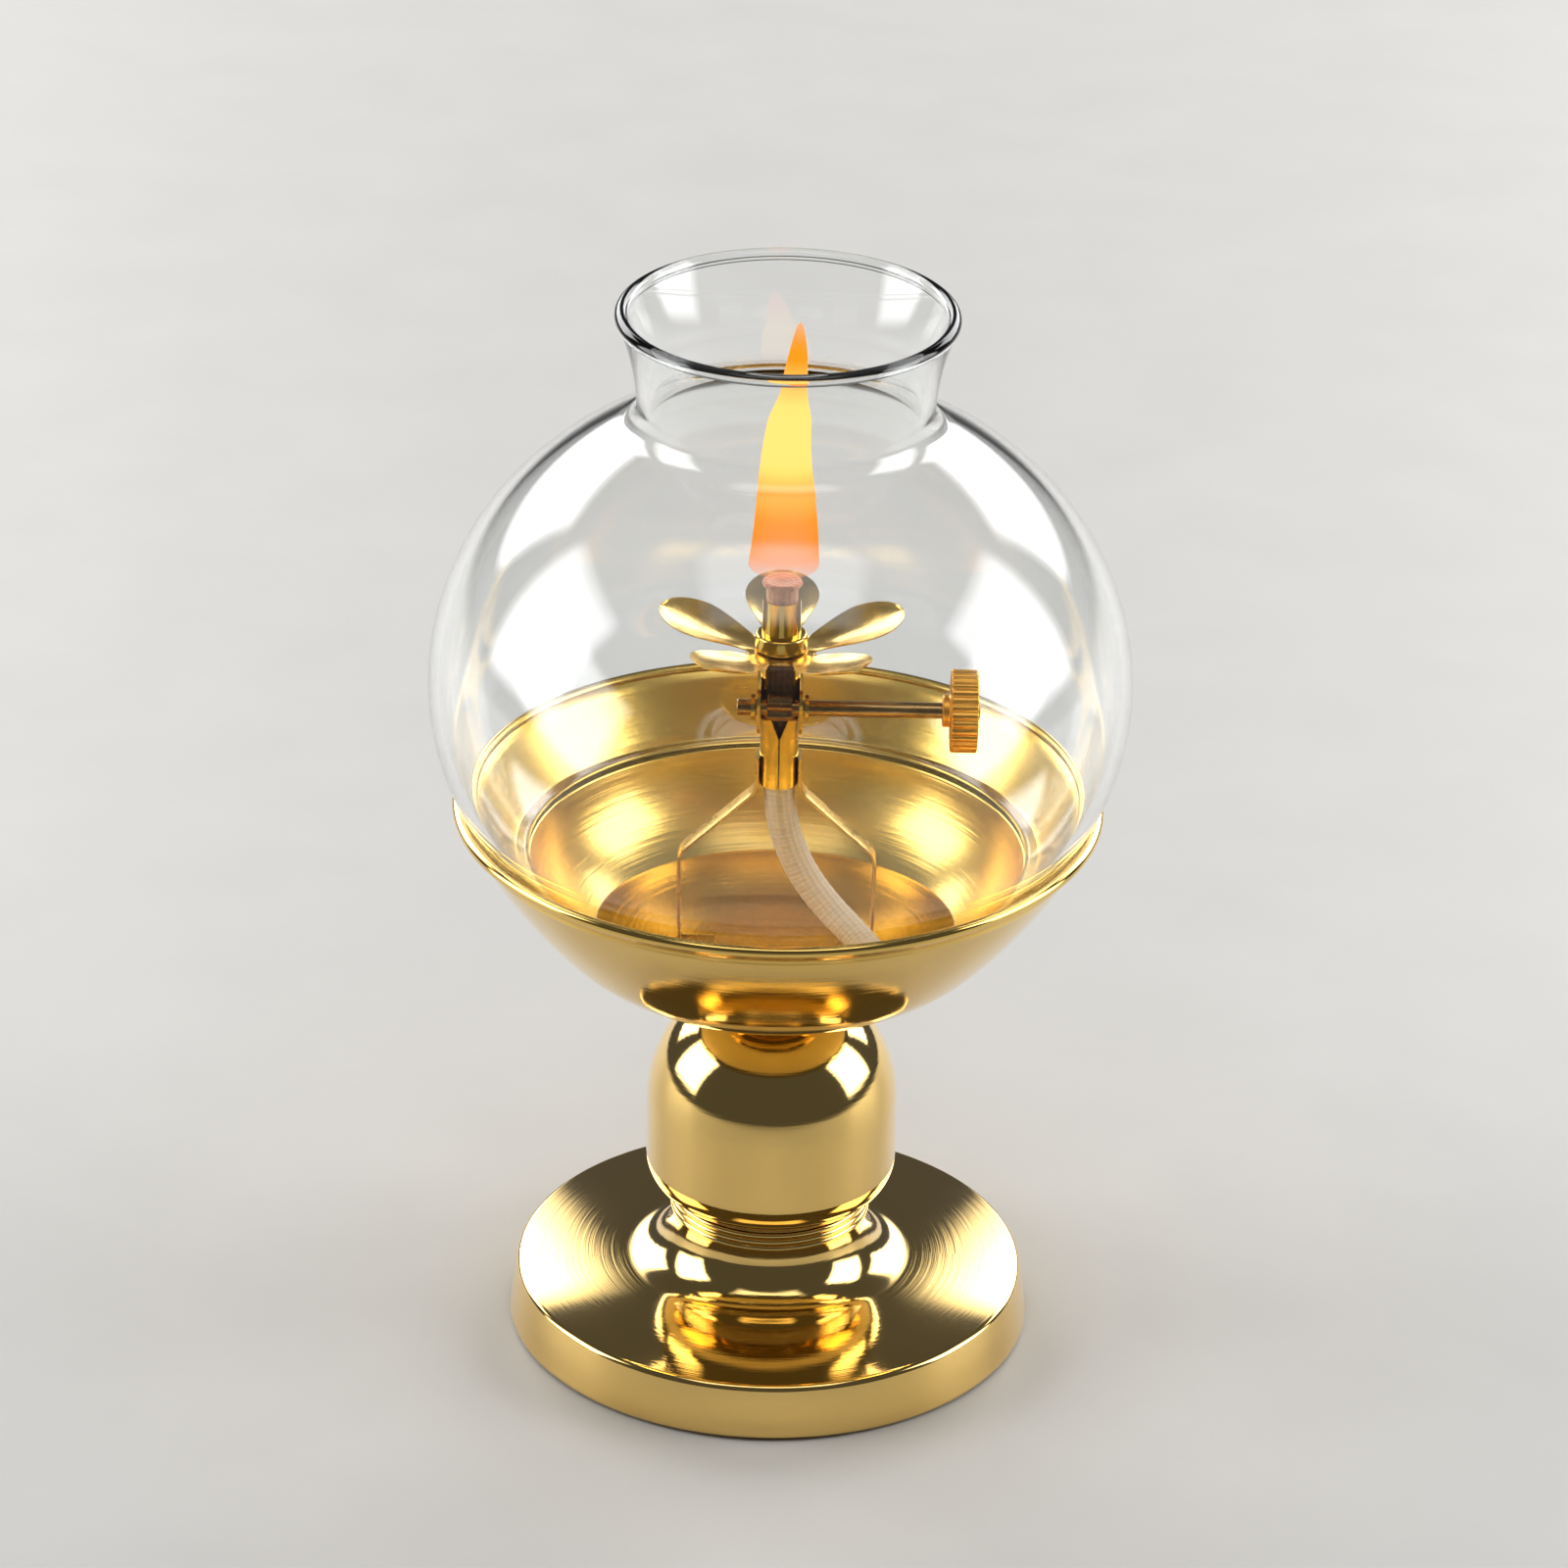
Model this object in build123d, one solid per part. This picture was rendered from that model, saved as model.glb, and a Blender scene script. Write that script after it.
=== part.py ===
"""Brass oil lamp: a weighted foot, a turned stem and an oil bowl, a glass globe that lifts off, and a
lift-out burner whose thumbwheel raises and lowers the wick.

Millimetres, +Z up.  The origin is the centre of the felt pad's underside, where the lamp stands.
The thumbwheel is on the +X side and the window in the wick tube looks towards -Y.
"""

import os
from math import acos, atan2, cos, degrees, radians, sin, sqrt, tan

from build123d import *

# ---- foot ------------------------------------------------------------------------------------------
FOOT_RADIUS = 40.0          # at the floor
FOOT_BAND_HEIGHT = 8.7      # top edge of the upright band
FOOT_BAND_TAPER = 1.4       # how much narrower the band is at its top edge
FOOT_EDGE_ROUND = 0.8
FOOT_CROWN_RISE = 1.2       # the top plate rises this much towards the cove
FOOT_COVE = 7.4             # radius of the hollow curve into the neck
FOOT_WALL = 1.5             # spun brass sheet
FOOT_WEB = 2.0              # thickness of the plate under the neck
FOOT_STAND_OFF = 0.4        # the felt stands this much below the brass
NECK_RADIUS = 14.6

PAD_THICKNESS = 1.6
WEIGHT_THICKNESS = 5.6      # iron disc inside the foot
WEIGHT_GAP = 0.8            # room round the iron disc
WEIGHT_BOSS_RADIUS = 11.0

# ---- tie rod and its fasteners (M6) ----------------------------------------------------------------
ROD_RADIUS = 3.0
ROD_HOLE_CLEARANCE = 0.3
ROD_THREAD_CLEARANCE = 0.05
ROD_END_IN_FOOT = 2.6       # height of the rod's lower end above the floor
NUT_ACROSS_FLATS = 10.0
NUT_HEIGHT = 5.0
WASHER_RADIUS = 6.0
WASHER_THICKNESS = 1.2
LOCK_WASHER_RADIUS = 5.2
LOCK_WASHER_THICKNESS = 1.4
LOCK_WASHER_SPLIT = 1.0
NUT_WELL_RADIUS = 7.4

# ---- stem ------------------------------------------------------------------------------------------
RING_HEIGHT = 4.4           # turned ring between foot and knob
RING_BEADS = 3
RING_BEAD_RADIUS = 0.55
KNOB_SEAT_RADIUS = 15.2     # where the knob sits on the turned ring
KNOB_RADIUS = 19.0
KNOB_CURL_HEIGHT = 5.9      # the knob's lower edge curls in over this height to its seat
KNOB_BAND_HEIGHT = 9.5
KNOB_SHOULDER_RADIUS = 17.3
KNOB_SHOULDER_HEIGHT = 8.0
KNOB_TOP_RADIUS = 9.0
KNOB_DOME_HEIGHT = 8.0
KNOB_WALL = 1.6
FIBRE_WASHER_RADIUS = 8.6
FIBRE_WASHER_THICKNESS = 1.2

# ---- bowl ------------------------------------------------------------------------------------------
BOSS_RADIUS = 9.6           # flange brazed under the bowl
BOSS_FLANGE = 3.6
BOSS_SPIGOT_RADIUS = 6.4
BOSS_SPIGOT_LENGTH = 9.0    # reaches down into the knob
BOSS_BLIND_END = 1.4        # metal left above the tapped hole
BOWL_WALL = 0.8
BOWL_FLAT_RADIUS = 10.0
BOWL_DISH_RADIUS = 25.0     # end of the shallow dish
BOWL_DISH_RISE = 3.1
BOWL_SHOULDER_RADIUS = 34.6
BOWL_SHOULDER_RISE = 10.0
BOWL_RIM_RISE = 28.8
BOWL_BEAD = 0.8             # radius of the rolled rim
LEDGE_RADIUS = 37.6         # inner edge of the ledge that the globe stands on
LEDGE_RISE = 19.2           # ledge above the bowl's underside
OIL_DEPTH = 4.8

# ---- glass globe -----------------------------------------------------------------------------------
GLOBE_RADIUS = 51.8
GLOBE_LOWER = 44.5          # half height of the lower half-ellipse
GLOBE_UPPER = 45.6          # half height of the upper half-ellipse
GLOBE_WALL = 1.8
GLOBE_FOOT_BEAD = 0.95
GLOBE_SEAT_GAP = 0.15
GLOBE_SEAT_INSET = 1.02     # the globe's foot stands this far out from the ledge's inner edge
GLOBE_RIM_GAP = 0.47        # room between the globe and the bowl's rolled rim round it
GLOBE_BELLY_RISE = 24.0     # the belly band ends this far above the widest point
GLOBE_SHOULDER_RADIUS = 24.0
GLOBE_NECK_RADIUS = 21.6
GLOBE_NECK_RISE = 44.4      # narrowest point above the widest
GLOBE_LIP_RADIUS = 23.9     # centre line of the rounded lip
GLOBE_LIP_RISE = 57.8
GLOBE_LIP_BEAD = 1.0

# ---- burner ----------------------------------------------------------------------------------------
TUBE_RADIUS = 2.85
TUBE_WALL = 0.4
TUBE_BOTTOM = 90.0
TUBE_LENGTH = 30.0
TUBE_SEAM = 0.2
WINDOW_HALF_WIDTH = 2.2
WINDOW_POINT = 8.3          # heights above the tube's bottom end
WINDOW_CORNER = 13.6
WINDOW_TOP = 20.9

LEG_WIDTH = 3.4
LEG_THICKNESS = 0.5
LEG_REACH = 14.7            # radius of the upright part
LEG_KNEE = 12.0             # the knee is this far below the tube's bottom end
LEG_DROP = 0.9              # the strip bends outward this far below the tube's bottom end
LEG_TAB = 4.6               # soldered length along the tube
LEG_BEND = 1.5
LEG_FOOT = 5.4
LEG_FLOOR_GAP = 0.3
POCKET_GAP = 0.5            # clearance of the oil round the legs and the wick

PLATE_HEIGHT = 21.4         # underside of the petal plate above the tube's bottom end
PLATE_RADIUS = 5.2
PETALS = 5
PETAL_THICKNESS = 0.6
PETAL_TIP_CENTRE = 13.5
PETAL_TIP_RADIUS = 5.5
PETAL_NECK = 4.6
PETAL_TILT = 14.0
COLLAR_RADIUS = 3.85
COLLAR_HEIGHT = 2.5

# ---- wick raiser -----------------------------------------------------------------------------------
SHAFT_RADIUS = 1.2
SHAFT_HEIGHT = 14.0         # above the tube's bottom end
SHAFT_TUBE_GAP = 0.588      # between the shaft and the edges of the tube's window
SHAFT_LEFT_END = -6.3
SHAFT_RIGHT_END = 29.4
SHAFT_RUNNING_FIT = 0.05
BRACKET_HEIGHT = 7.0
BRACKET_THICKNESS = 0.5
BRACKET_MARGIN = 2.0        # metal round the shaft's holes
STAR_RADIUS = 1.95
STAR_ROOT = 1.45
STAR_TEETH = 8
STAR_WIDTH = 3.6
CLIP_RADIUS = 2.0
CLIP_THICKNESS = 0.6
CLIP_PLAY = 0.3
WHEEL_RADIUS = 6.15
WHEEL_WIDTH = 4.0
WHEEL_LEFT = 25.0
WHEEL_KNURLS = 30
WHEEL_KNURL_DEPTH = 0.25
WHEEL_HUB_RADIUS = 2.4
WHEEL_HUB_LENGTH = 1.2

# ---- wick ------------------------------------------------------------------------------------------
WICK_CLEARANCE = 0.08
WICK_TOP_ABOVE_TUBE = 2.4
WICK_BITE_GAP = 0.25        # between the star's points and the wick's flattened front
WICK_RAISE = 6.0
WICK_LOWER = 2.0
WICK_JOIN = 4.0             # the loose tail starts this far up inside the tube
# The loose tail hangs from the tube, passes in front of the right leg and lies in the bowl.
TAIL_ROUTE = [
    (0.0, 0.0, 94.0),
    (0.0, 0.0, 87.4),
    (1.3, -0.4, 80.9),
    (3.9, -1.4, 75.2),
    (7.6, -3.3, 70.7),
    (11.7, -6.2, 67.5),
    (15.2, -10.5, 65.1),
    (17.6, -15.6, 64.0),
]

# ---- heights worked out from the sizes above -------------------------------------------------------
foot_crown_radius = NECK_RADIUS + FOOT_COVE
foot_crown = FOOT_BAND_HEIGHT + FOOT_CROWN_RISE
foot_top = foot_crown + FOOT_COVE
web_bottom = foot_top - FOOT_WEB
weight_bottom = PAD_THICKNESS
weight_radius = FOOT_RADIUS - FOOT_BAND_TAPER - FOOT_WALL - WEIGHT_GAP
nut_bottom = PAD_THICKNESS + 1.2
lock_washer_bottom = nut_bottom + NUT_HEIGHT
washer_bottom = lock_washer_bottom + LOCK_WASHER_THICKNESS
well_top = washer_bottom + WASHER_THICKNESS
knob_bottom = foot_top + RING_HEIGHT
knob_edge = knob_bottom + KNOB_CURL_HEIGHT
knob_band_top = knob_edge + KNOB_BAND_HEIGHT
knob_shoulder = knob_band_top + KNOB_SHOULDER_HEIGHT
knob_top = knob_shoulder + KNOB_DOME_HEIGHT
boss_bottom = knob_top + FIBRE_WASHER_THICKNESS
bowl_bottom = boss_bottom + BOSS_FLANGE
bowl_floor = bowl_bottom + BOWL_WALL
rim_height = bowl_bottom + BOWL_RIM_RISE
ledge_height = bowl_bottom + LEDGE_RISE
oil_level = bowl_floor + OIL_DEPTH
globe_foot = ledge_height + GLOBE_SEAT_GAP + GLOBE_FOOT_BEAD
globe_foot_radius = LEDGE_RADIUS + GLOBE_SEAT_INSET
globe_foot_angle = acos(globe_foot_radius / (GLOBE_RADIUS - GLOBE_WALL / 2))
globe_shoulder_angle = acos(GLOBE_SHOULDER_RADIUS / GLOBE_RADIUS)
globe_middle = globe_foot + (GLOBE_LOWER - GLOBE_WALL / 2) * sin(globe_foot_angle)
globe_shoulder = globe_middle + GLOBE_UPPER * sin(globe_shoulder_angle)
globe_at_rim = GLOBE_RADIUS * sqrt(1 - ((globe_middle - rim_height) / GLOBE_LOWER) ** 2)
bowl_rim_radius = globe_at_rim + GLOBE_RIM_GAP + BOWL_BEAD
tube_top = TUBE_BOTTOM + TUBE_LENGTH
shaft_height = TUBE_BOTTOM + SHAFT_HEIGHT
window_edge = sqrt(TUBE_RADIUS**2 - WINDOW_HALF_WIDTH**2)
shaft_forward = window_edge + SHAFT_TUBE_GAP + SHAFT_RADIUS
plate_bottom = TUBE_BOTTOM + PLATE_HEIGHT
plate_top = plate_bottom + PETAL_THICKNESS
wick_radius = TUBE_RADIUS - TUBE_WALL - WICK_CLEARANCE


def revolve_section(*edges):
    """Solid of revolution about Z of a section drawn as radius, height in the XZ plane."""
    return revolve(Plane.XZ * make_face(Curve() + list(edges)), Axis.Z)


def ring(outer, inner, bottom, top):
    """Plain ring about Z, or a disc where the inner radius is nothing."""
    band = Pos(0, 0, bottom) * extrude(Circle(outer), top - bottom)
    if inner:
        band -= Pos(0, 0, bottom - 1) * extrude(Circle(inner), top - bottom + 2)
    return band


def save(name, shape):
    """Write one piece as a STEP file of its own."""
    shape.label = name
    export_step(shape, f"parts/{name}.step")


# ---- foot ------------------------------------------------------------------------------------------
def foot_solid(inset):
    """The foot's outside, or the hollow inside it, which is the same shape moved in by the wall."""
    crown_radius = foot_crown_radius
    outline = Polyline(
        (0, foot_top),
        (0, FOOT_STAND_OFF - inset),
        (FOOT_RADIUS - inset, FOOT_STAND_OFF - inset),
        (FOOT_RADIUS - FOOT_BAND_TAPER - inset, FOOT_BAND_HEIGHT - inset),
        (crown_radius, foot_crown - inset),
    )
    cove = RadiusArc(
        (crown_radius, foot_crown - inset),
        (NECK_RADIUS - inset, foot_top),
        FOOT_COVE + inset,
    )
    return revolve_section(outline, cove, Line((NECK_RADIUS - inset, foot_top), (0, foot_top)))


def base_foot():
    shell = foot_solid(0)
    rim = shell.edges().filter_by(GeomType.CIRCLE).filter_by_position(
        Axis.Z, FOOT_BAND_HEIGHT - 0.01, FOOT_BAND_HEIGHT + 0.01
    )
    shell = fillet(rim, FOOT_EDGE_ROUND)
    shell -= foot_solid(FOOT_WALL)
    shell += ring(NECK_RADIUS - FOOT_WALL / 2, 0, web_bottom, foot_top)
    return shell - ring(ROD_RADIUS + ROD_HOLE_CLEARANCE, 0, 0, foot_top + 1)


def base_pad():
    return ring(weight_radius, 0, 0, PAD_THICKNESS)


def base_weight():
    disc = ring(weight_radius - FOOT_WALL, 0, weight_bottom, weight_bottom + WEIGHT_THICKNESS)
    disc += ring(WEIGHT_BOSS_RADIUS, 0, weight_bottom, web_bottom)
    disc -= ring(NUT_WELL_RADIUS, 0, weight_bottom - 1, well_top)
    return disc - ring(ROD_RADIUS + ROD_HOLE_CLEARANCE, 0, 0, web_bottom + 1)


# ---- tie rod and its fasteners ---------------------------------------------------------------------
def tie_rod():
    return ring(ROD_RADIUS, 0, ROD_END_IN_FOOT, bowl_bottom - BOSS_BLIND_END)


def tie_nut():
    nut = extrude(RegularPolygon(NUT_ACROSS_FLATS / 2, 6, major_radius=False), NUT_HEIGHT)
    nut -= ring(ROD_RADIUS + ROD_THREAD_CLEARANCE, 0, -1, NUT_HEIGHT + 1)
    return Pos(0, 0, nut_bottom) * nut


def lock_washer():
    washer = ring(
        LOCK_WASHER_RADIUS,
        ROD_RADIUS + ROD_THREAD_CLEARANCE,
        lock_washer_bottom,
        washer_bottom,
    )
    split = Pos(LOCK_WASHER_RADIUS, 0, lock_washer_bottom) * Box(
        2 * LOCK_WASHER_RADIUS, LOCK_WASHER_SPLIT, 4 * LOCK_WASHER_THICKNESS
    )
    return washer - split


def tie_washer():
    return ring(WASHER_RADIUS, ROD_RADIUS + ROD_THREAD_CLEARANCE, washer_bottom, well_top)


# ---- stem ------------------------------------------------------------------------------------------
def stem_ring():
    band = ring(NECK_RADIUS, ROD_RADIUS + ROD_HOLE_CLEARANCE, foot_top, knob_bottom)
    pitch = RING_HEIGHT / (RING_BEADS + 1)
    for bead in range(RING_BEADS):
        height = foot_top + pitch * (bead + 1)
        band += Pos(0, 0, height) * Torus(NECK_RADIUS, RING_BEAD_RADIUS)
    return band


def knob_solid(inset):
    """The knob's outside, or the hollow inside it, which is the same shape moved in by the wall."""
    seat = (KNOB_SEAT_RADIUS - inset, knob_bottom + inset)
    edge = (KNOB_RADIUS - inset, knob_edge)
    band_top = (KNOB_RADIUS - inset, knob_band_top)
    shoulder = (KNOB_SHOULDER_RADIUS - inset, knob_shoulder)
    top = (KNOB_TOP_RADIUS - inset / 2, knob_top - inset)
    curl = TangentArc(edge, seat, tangent=(0, -1))
    swell = TangentArc(band_top, shoulder, tangent=(0, 1))
    dome = TangentArc(shoulder, top, tangent=swell % 1)
    axis = Polyline(top, (0, top[1]), (0, seat[1]), seat)
    return revolve_section(curl, Line(edge, band_top), swell, dome, axis)


def stem_knob():
    knob = knob_solid(0) - knob_solid(KNOB_WALL)
    knob -= ring(ROD_RADIUS + ROD_HOLE_CLEARANCE, 0, knob_bottom - 1, knob_shoulder)
    return knob - ring(BOSS_SPIGOT_RADIUS, 0, knob_shoulder, knob_top + 1)


def stem_washer():
    return ring(FIBRE_WASHER_RADIUS, BOSS_SPIGOT_RADIUS, knob_top, boss_bottom)


# ---- bowl ------------------------------------------------------------------------------------------
def bowl_solid(inset):
    """The bowl's outside, or its inside, which lies inwards of it by the thickness of the sheet.

    Three arcs run on from each other, from the flat under the boss out to the rolled rim.  The angle
    at the end of each is twice its chord's angle less the angle at its start.
    """
    corners = [
        (BOWL_FLAT_RADIUS, 0),
        (BOWL_DISH_RADIUS, BOWL_DISH_RISE),
        (BOWL_SHOULDER_RADIUS, BOWL_SHOULDER_RISE),
        (bowl_rim_radius, BOWL_RIM_RISE),
    ]
    angle = 0.0
    last = corners[0]
    points = []
    tangents = []
    for radius, rise in corners:
        angle = 2 * atan2(rise - last[1], radius - last[0]) - angle
        last = (radius, rise)
        points.append((radius - inset * sin(angle), bowl_bottom + rise + inset * cos(angle)))
        tangents.append((cos(angle), sin(angle)))
    arcs = [
        TangentArc(start, end, tangent=tangent)
        for start, end, tangent in zip(points, points[1:], tangents)
    ]
    start = (0, points[0][1])
    rim = points[-1]
    return revolve_section(
        Line(start, points[0]), *arcs, Polyline(rim, (0, rim[1]), start)
    )


def oil_well():
    """The hollow below the ledge: it leaves the dish without a break and climbs to the ledge's edge."""
    dish_angle = 2 * atan2(BOWL_DISH_RISE, BOWL_DISH_RADIUS - BOWL_FLAT_RADIUS)
    flat = (BOWL_FLAT_RADIUS, bowl_floor)
    dish = (
        BOWL_DISH_RADIUS - BOWL_WALL * sin(dish_angle),
        bowl_bottom + BOWL_DISH_RISE + BOWL_WALL * cos(dish_angle),
    )
    floor = TangentArc(flat, dish, tangent=(1, 0))
    edge = (LEDGE_RADIUS, ledge_height)
    wall = TangentArc(dish, edge, tangent=(cos(dish_angle), sin(dish_angle)))
    axis = Polyline(edge, (0, ledge_height), (0, bowl_floor), flat)
    return revolve_section(floor, wall, axis)


def bowl_cup():
    gallery = bowl_solid(BOWL_WALL) & ring(bowl_rim_radius, 0, ledge_height, rim_height)
    cup = bowl_solid(0) - gallery - oil_well()
    bead = Pos(0, 0, rim_height) * Torus(bowl_rim_radius, BOWL_BEAD)
    return cup + bead


def bowl_boss():
    boss = ring(BOSS_RADIUS, 0, boss_bottom, bowl_bottom)
    boss += ring(BOSS_SPIGOT_RADIUS, 0, boss_bottom - BOSS_SPIGOT_LENGTH, boss_bottom)
    hole_top = bowl_bottom - BOSS_BLIND_END
    return boss - ring(ROD_RADIUS + ROD_THREAD_CLEARANCE, 0, 0, hole_top)


def lamp_oil():
    """The pool in the bowl, open above where the burner's feet and the wick's tail lift out of it."""
    pool = oil_well() & ring(LEDGE_RADIUS, 0, 0, oil_level)
    for side in (-1, 1):
        near = LEG_REACH - LEG_FOOT - POCKET_GAP
        far = LEG_REACH + LEG_THICKNESS + POCKET_GAP
        pocket = Box(far - near, LEG_WIDTH + 2 * POCKET_GAP, 4 * OIL_DEPTH)
        pool -= Pos(side * (near + far) / 2, 0, oil_level) * pocket
    width = 2 * (wick_radius + POCKET_GAP)
    for start, end in zip(TAIL_ROUTE, TAIL_ROUTE[1:]):
        trench = SlotCenterPoint(
            ((start[0] + end[0]) / 2, (start[1] + end[1]) / 2), end[:2], width
        ) if start[:2] != end[:2] else Pos(*end[:2]) * Circle(width / 2)
        pool -= Pos(0, 0, bowl_bottom) * extrude(trench, 4 * OIL_DEPTH)
    return pool


# ---- glass globe -----------------------------------------------------------------------------------
def globe_side(inset):
    """One face of the glass from foot to lip, moved in towards the axis by the inset."""
    radius = GLOBE_RADIUS - inset
    centre = (0, globe_middle)
    foot_angle = degrees(globe_foot_angle)
    shoulder_angle = degrees(globe_shoulder_angle)
    lower = EllipticalCenterArc(
        centre, radius, GLOBE_LOWER - inset, -foot_angle, arc_size=foot_angle
    )
    upper = EllipticalCenterArc(centre, radius, GLOBE_UPPER - inset, 0, arc_size=shoulder_angle)
    neck = (GLOBE_NECK_RADIUS - inset, globe_middle + GLOBE_NECK_RISE)
    lip = (GLOBE_LIP_RADIUS + GLOBE_WALL / 2 - inset, globe_middle + GLOBE_LIP_RISE)
    hollow = TangentArc(upper @ 1, neck, tangent=upper % 1)
    flare = TangentArc(neck, lip, tangent=hollow % 1)
    return [lower, upper, hollow, flare]


def glass_globe():
    outside = globe_side(0)
    inside = globe_side(GLOBE_WALL)
    foot = Line(inside[0] @ 0, outside[0] @ 0)
    lip = Line(outside[-1] @ 1, inside[-1] @ 1)
    globe = revolve_section(*outside, lip, *inside, foot)
    globe += Pos(0, 0, globe_foot) * Torus(globe_foot_radius, GLOBE_FOOT_BEAD)
    return globe + Pos(0, 0, globe_middle + GLOBE_LIP_RISE) * Torus(GLOBE_LIP_RADIUS, GLOBE_LIP_BEAD)


def globe_bands():
    """The one blown globe in four bands that meet face to face, so that each hollow ring is simple."""
    globe = glass_globe()
    beyond = 2 * GLOBE_RADIUS
    heights = {
        "globe_lower": (globe_middle - beyond, globe_middle),
        "globe_belly": (globe_middle, globe_middle + GLOBE_BELLY_RISE),
        "globe_shoulder": (globe_middle + GLOBE_BELLY_RISE, globe_shoulder),
        "globe_neck": (globe_shoulder, globe_shoulder + beyond),
    }
    for name, (bottom, top) in heights.items():
        save(name, globe & ring(beyond, 0, bottom, top))


# ---- burner ----------------------------------------------------------------------------------------
def wick_tube():
    """Rolled sheet tube with a front seam that opens into a window over the star wheel."""
    tube = ring(TUBE_RADIUS, TUBE_RADIUS - TUBE_WALL, TUBE_BOTTOM, tube_top)
    half = WINDOW_HALF_WIDTH
    outline = Polyline(
        (0, TUBE_BOTTOM + WINDOW_POINT),
        (half, TUBE_BOTTOM + WINDOW_CORNER),
        (half, TUBE_BOTTOM + WINDOW_TOP),
        (-half, TUBE_BOTTOM + WINDOW_TOP),
        (-half, TUBE_BOTTOM + WINDOW_CORNER),
        (0, TUBE_BOTTOM + WINDOW_POINT),
    )
    window = extrude(Plane.XZ * make_face(outline), 2 * TUBE_RADIUS)
    seam_length = WINDOW_POINT + TUBE_SEAM
    seam = Box(TUBE_SEAM, 2 * TUBE_RADIUS, seam_length)
    seam_place = Pos(0, -TUBE_RADIUS, TUBE_BOTTOM + seam_length / 2)
    return tube - window - seam_place * seam


def leg(side):
    """A strip from its soldered tab down the tube, out to the knee and straight down to the foot."""
    along_tube = side * (TUBE_RADIUS + LEG_THICKNESS / 2)
    upright = side * LEG_REACH
    sole = bowl_floor + LEG_FLOOR_GAP + LEG_THICKNESS / 2
    path = FilletPolyline(
        (along_tube, 0, TUBE_BOTTOM + LEG_TAB),
        (along_tube, 0, TUBE_BOTTOM - LEG_DROP),
        (upright, 0, TUBE_BOTTOM - LEG_KNEE),
        (upright, 0, sole),
        (upright - side * LEG_FOOT, 0, sole),
        radius=LEG_BEND,
    )
    section = Plane(path @ 0, x_dir=(0, 1, 0), z_dir=path % 0) * Rectangle(LEG_WIDTH, LEG_THICKNESS)
    return sweep(section, path)


def shaft_bracket():
    """A strip folded round the back of the tube, whose two ears carry the shaft."""
    height = SHAFT_HEIGHT - BRACKET_HEIGHT / 2
    outer = TUBE_RADIUS + BRACKET_THICKNESS
    front = shaft_forward + SHAFT_RADIUS + BRACKET_MARGIN
    strip = Circle(outer) + Pos(0, -front / 2) * Rectangle(2 * outer, front)
    strip -= Circle(TUBE_RADIUS)
    strip -= Pos(0, -front) * Rectangle(2 * TUBE_RADIUS, 2 * front)
    bracket = Pos(0, 0, TUBE_BOTTOM + height) * extrude(strip, BRACKET_HEIGHT)
    corners = bracket.edges().filter_by(Axis.X).group_by(Axis.Y)[0]
    bracket = fillet(corners, BRACKET_MARGIN)
    hole = Rot(0, 90, 0) * Cylinder(SHAFT_RADIUS + SHAFT_RUNNING_FIT, 4 * outer)
    return bracket - Pos(0, -shaft_forward, shaft_height) * hole


def petal():
    """A spoon-shaped petal along +X, tilted up from the edge of the plate."""
    tip = Pos(PETAL_TIP_CENTRE, 0) * Circle(PETAL_TIP_RADIUS)
    neck = Pos(PETAL_TIP_CENTRE / 2, 0) * Rectangle(PETAL_TIP_CENTRE, PETAL_NECK)
    outline = neck - Circle(COLLAR_RADIUS) + tip
    blade = extrude(outline, PETAL_THICKNESS)
    hinge = Pos(PLATE_RADIUS, 0, 0)
    return hinge * Rot(0, -PETAL_TILT, 0) * Pos(-PLATE_RADIUS, 0, 0) * blade


def flower_petals():
    plate = ring(PLATE_RADIUS, 0, 0, PETAL_THICKNESS)
    for number in range(PETALS):
        plate += Rot(0, 0, 90 + number * 360 / PETALS) * petal()
    plate -= ring(TUBE_RADIUS, 0, -PETAL_TIP_CENTRE, PETAL_TIP_CENTRE)
    plate -= ring(COLLAR_RADIUS, 0, PETAL_THICKNESS, PETAL_TIP_CENTRE)
    plate -= ring(PLATE_RADIUS + COLLAR_RADIUS, 0, -PETAL_TIP_CENTRE, 0)
    return Pos(0, 0, plate_bottom) * plate


def flower_collar():
    return ring(COLLAR_RADIUS, TUBE_RADIUS, plate_top, plate_top + COLLAR_HEIGHT)


# ---- wick raiser, about the shaft's axis -----------------------------------------------------------
def on_shaft(shape, start):
    """Place a shape drawn along +Z on the shaft's axis, starting at this X."""
    return Pos(start, -shaft_forward, shaft_height) * Rot(0, 90, 0) * shape


def wick_shaft():
    length = SHAFT_RIGHT_END - SHAFT_LEFT_END
    return on_shaft(extrude(Circle(SHAFT_RADIUS), length), SHAFT_LEFT_END)


def star_wheel():
    step = 180 / STAR_TEETH
    points = []
    for index in range(2 * STAR_TEETH):
        radius = STAR_ROOT if index % 2 else STAR_RADIUS
        turn = radians(index * step)
        points.append((radius * cos(turn), radius * sin(turn)))
    star = extrude(make_face(Polyline(*points, close=True)), STAR_WIDTH)
    return on_shaft(star - ring(SHAFT_RADIUS, 0, -1, STAR_WIDTH + 1), -STAR_WIDTH / 2)


def shaft_clips():
    """Two retaining clips, one outside each ear of the bracket."""
    clip = ring(CLIP_RADIUS, SHAFT_RADIUS, 0, CLIP_THICKNESS)
    clip -= Pos(-CLIP_RADIUS, 0, 0) * Box(2 * CLIP_RADIUS, SHAFT_RADIUS, 4 * CLIP_THICKNESS)
    ear = TUBE_RADIUS + BRACKET_THICKNESS + CLIP_PLAY
    right = on_shaft(clip, ear)
    left = on_shaft(clip, -ear - CLIP_THICKNESS)
    return Compound(children=[left, right])


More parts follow.
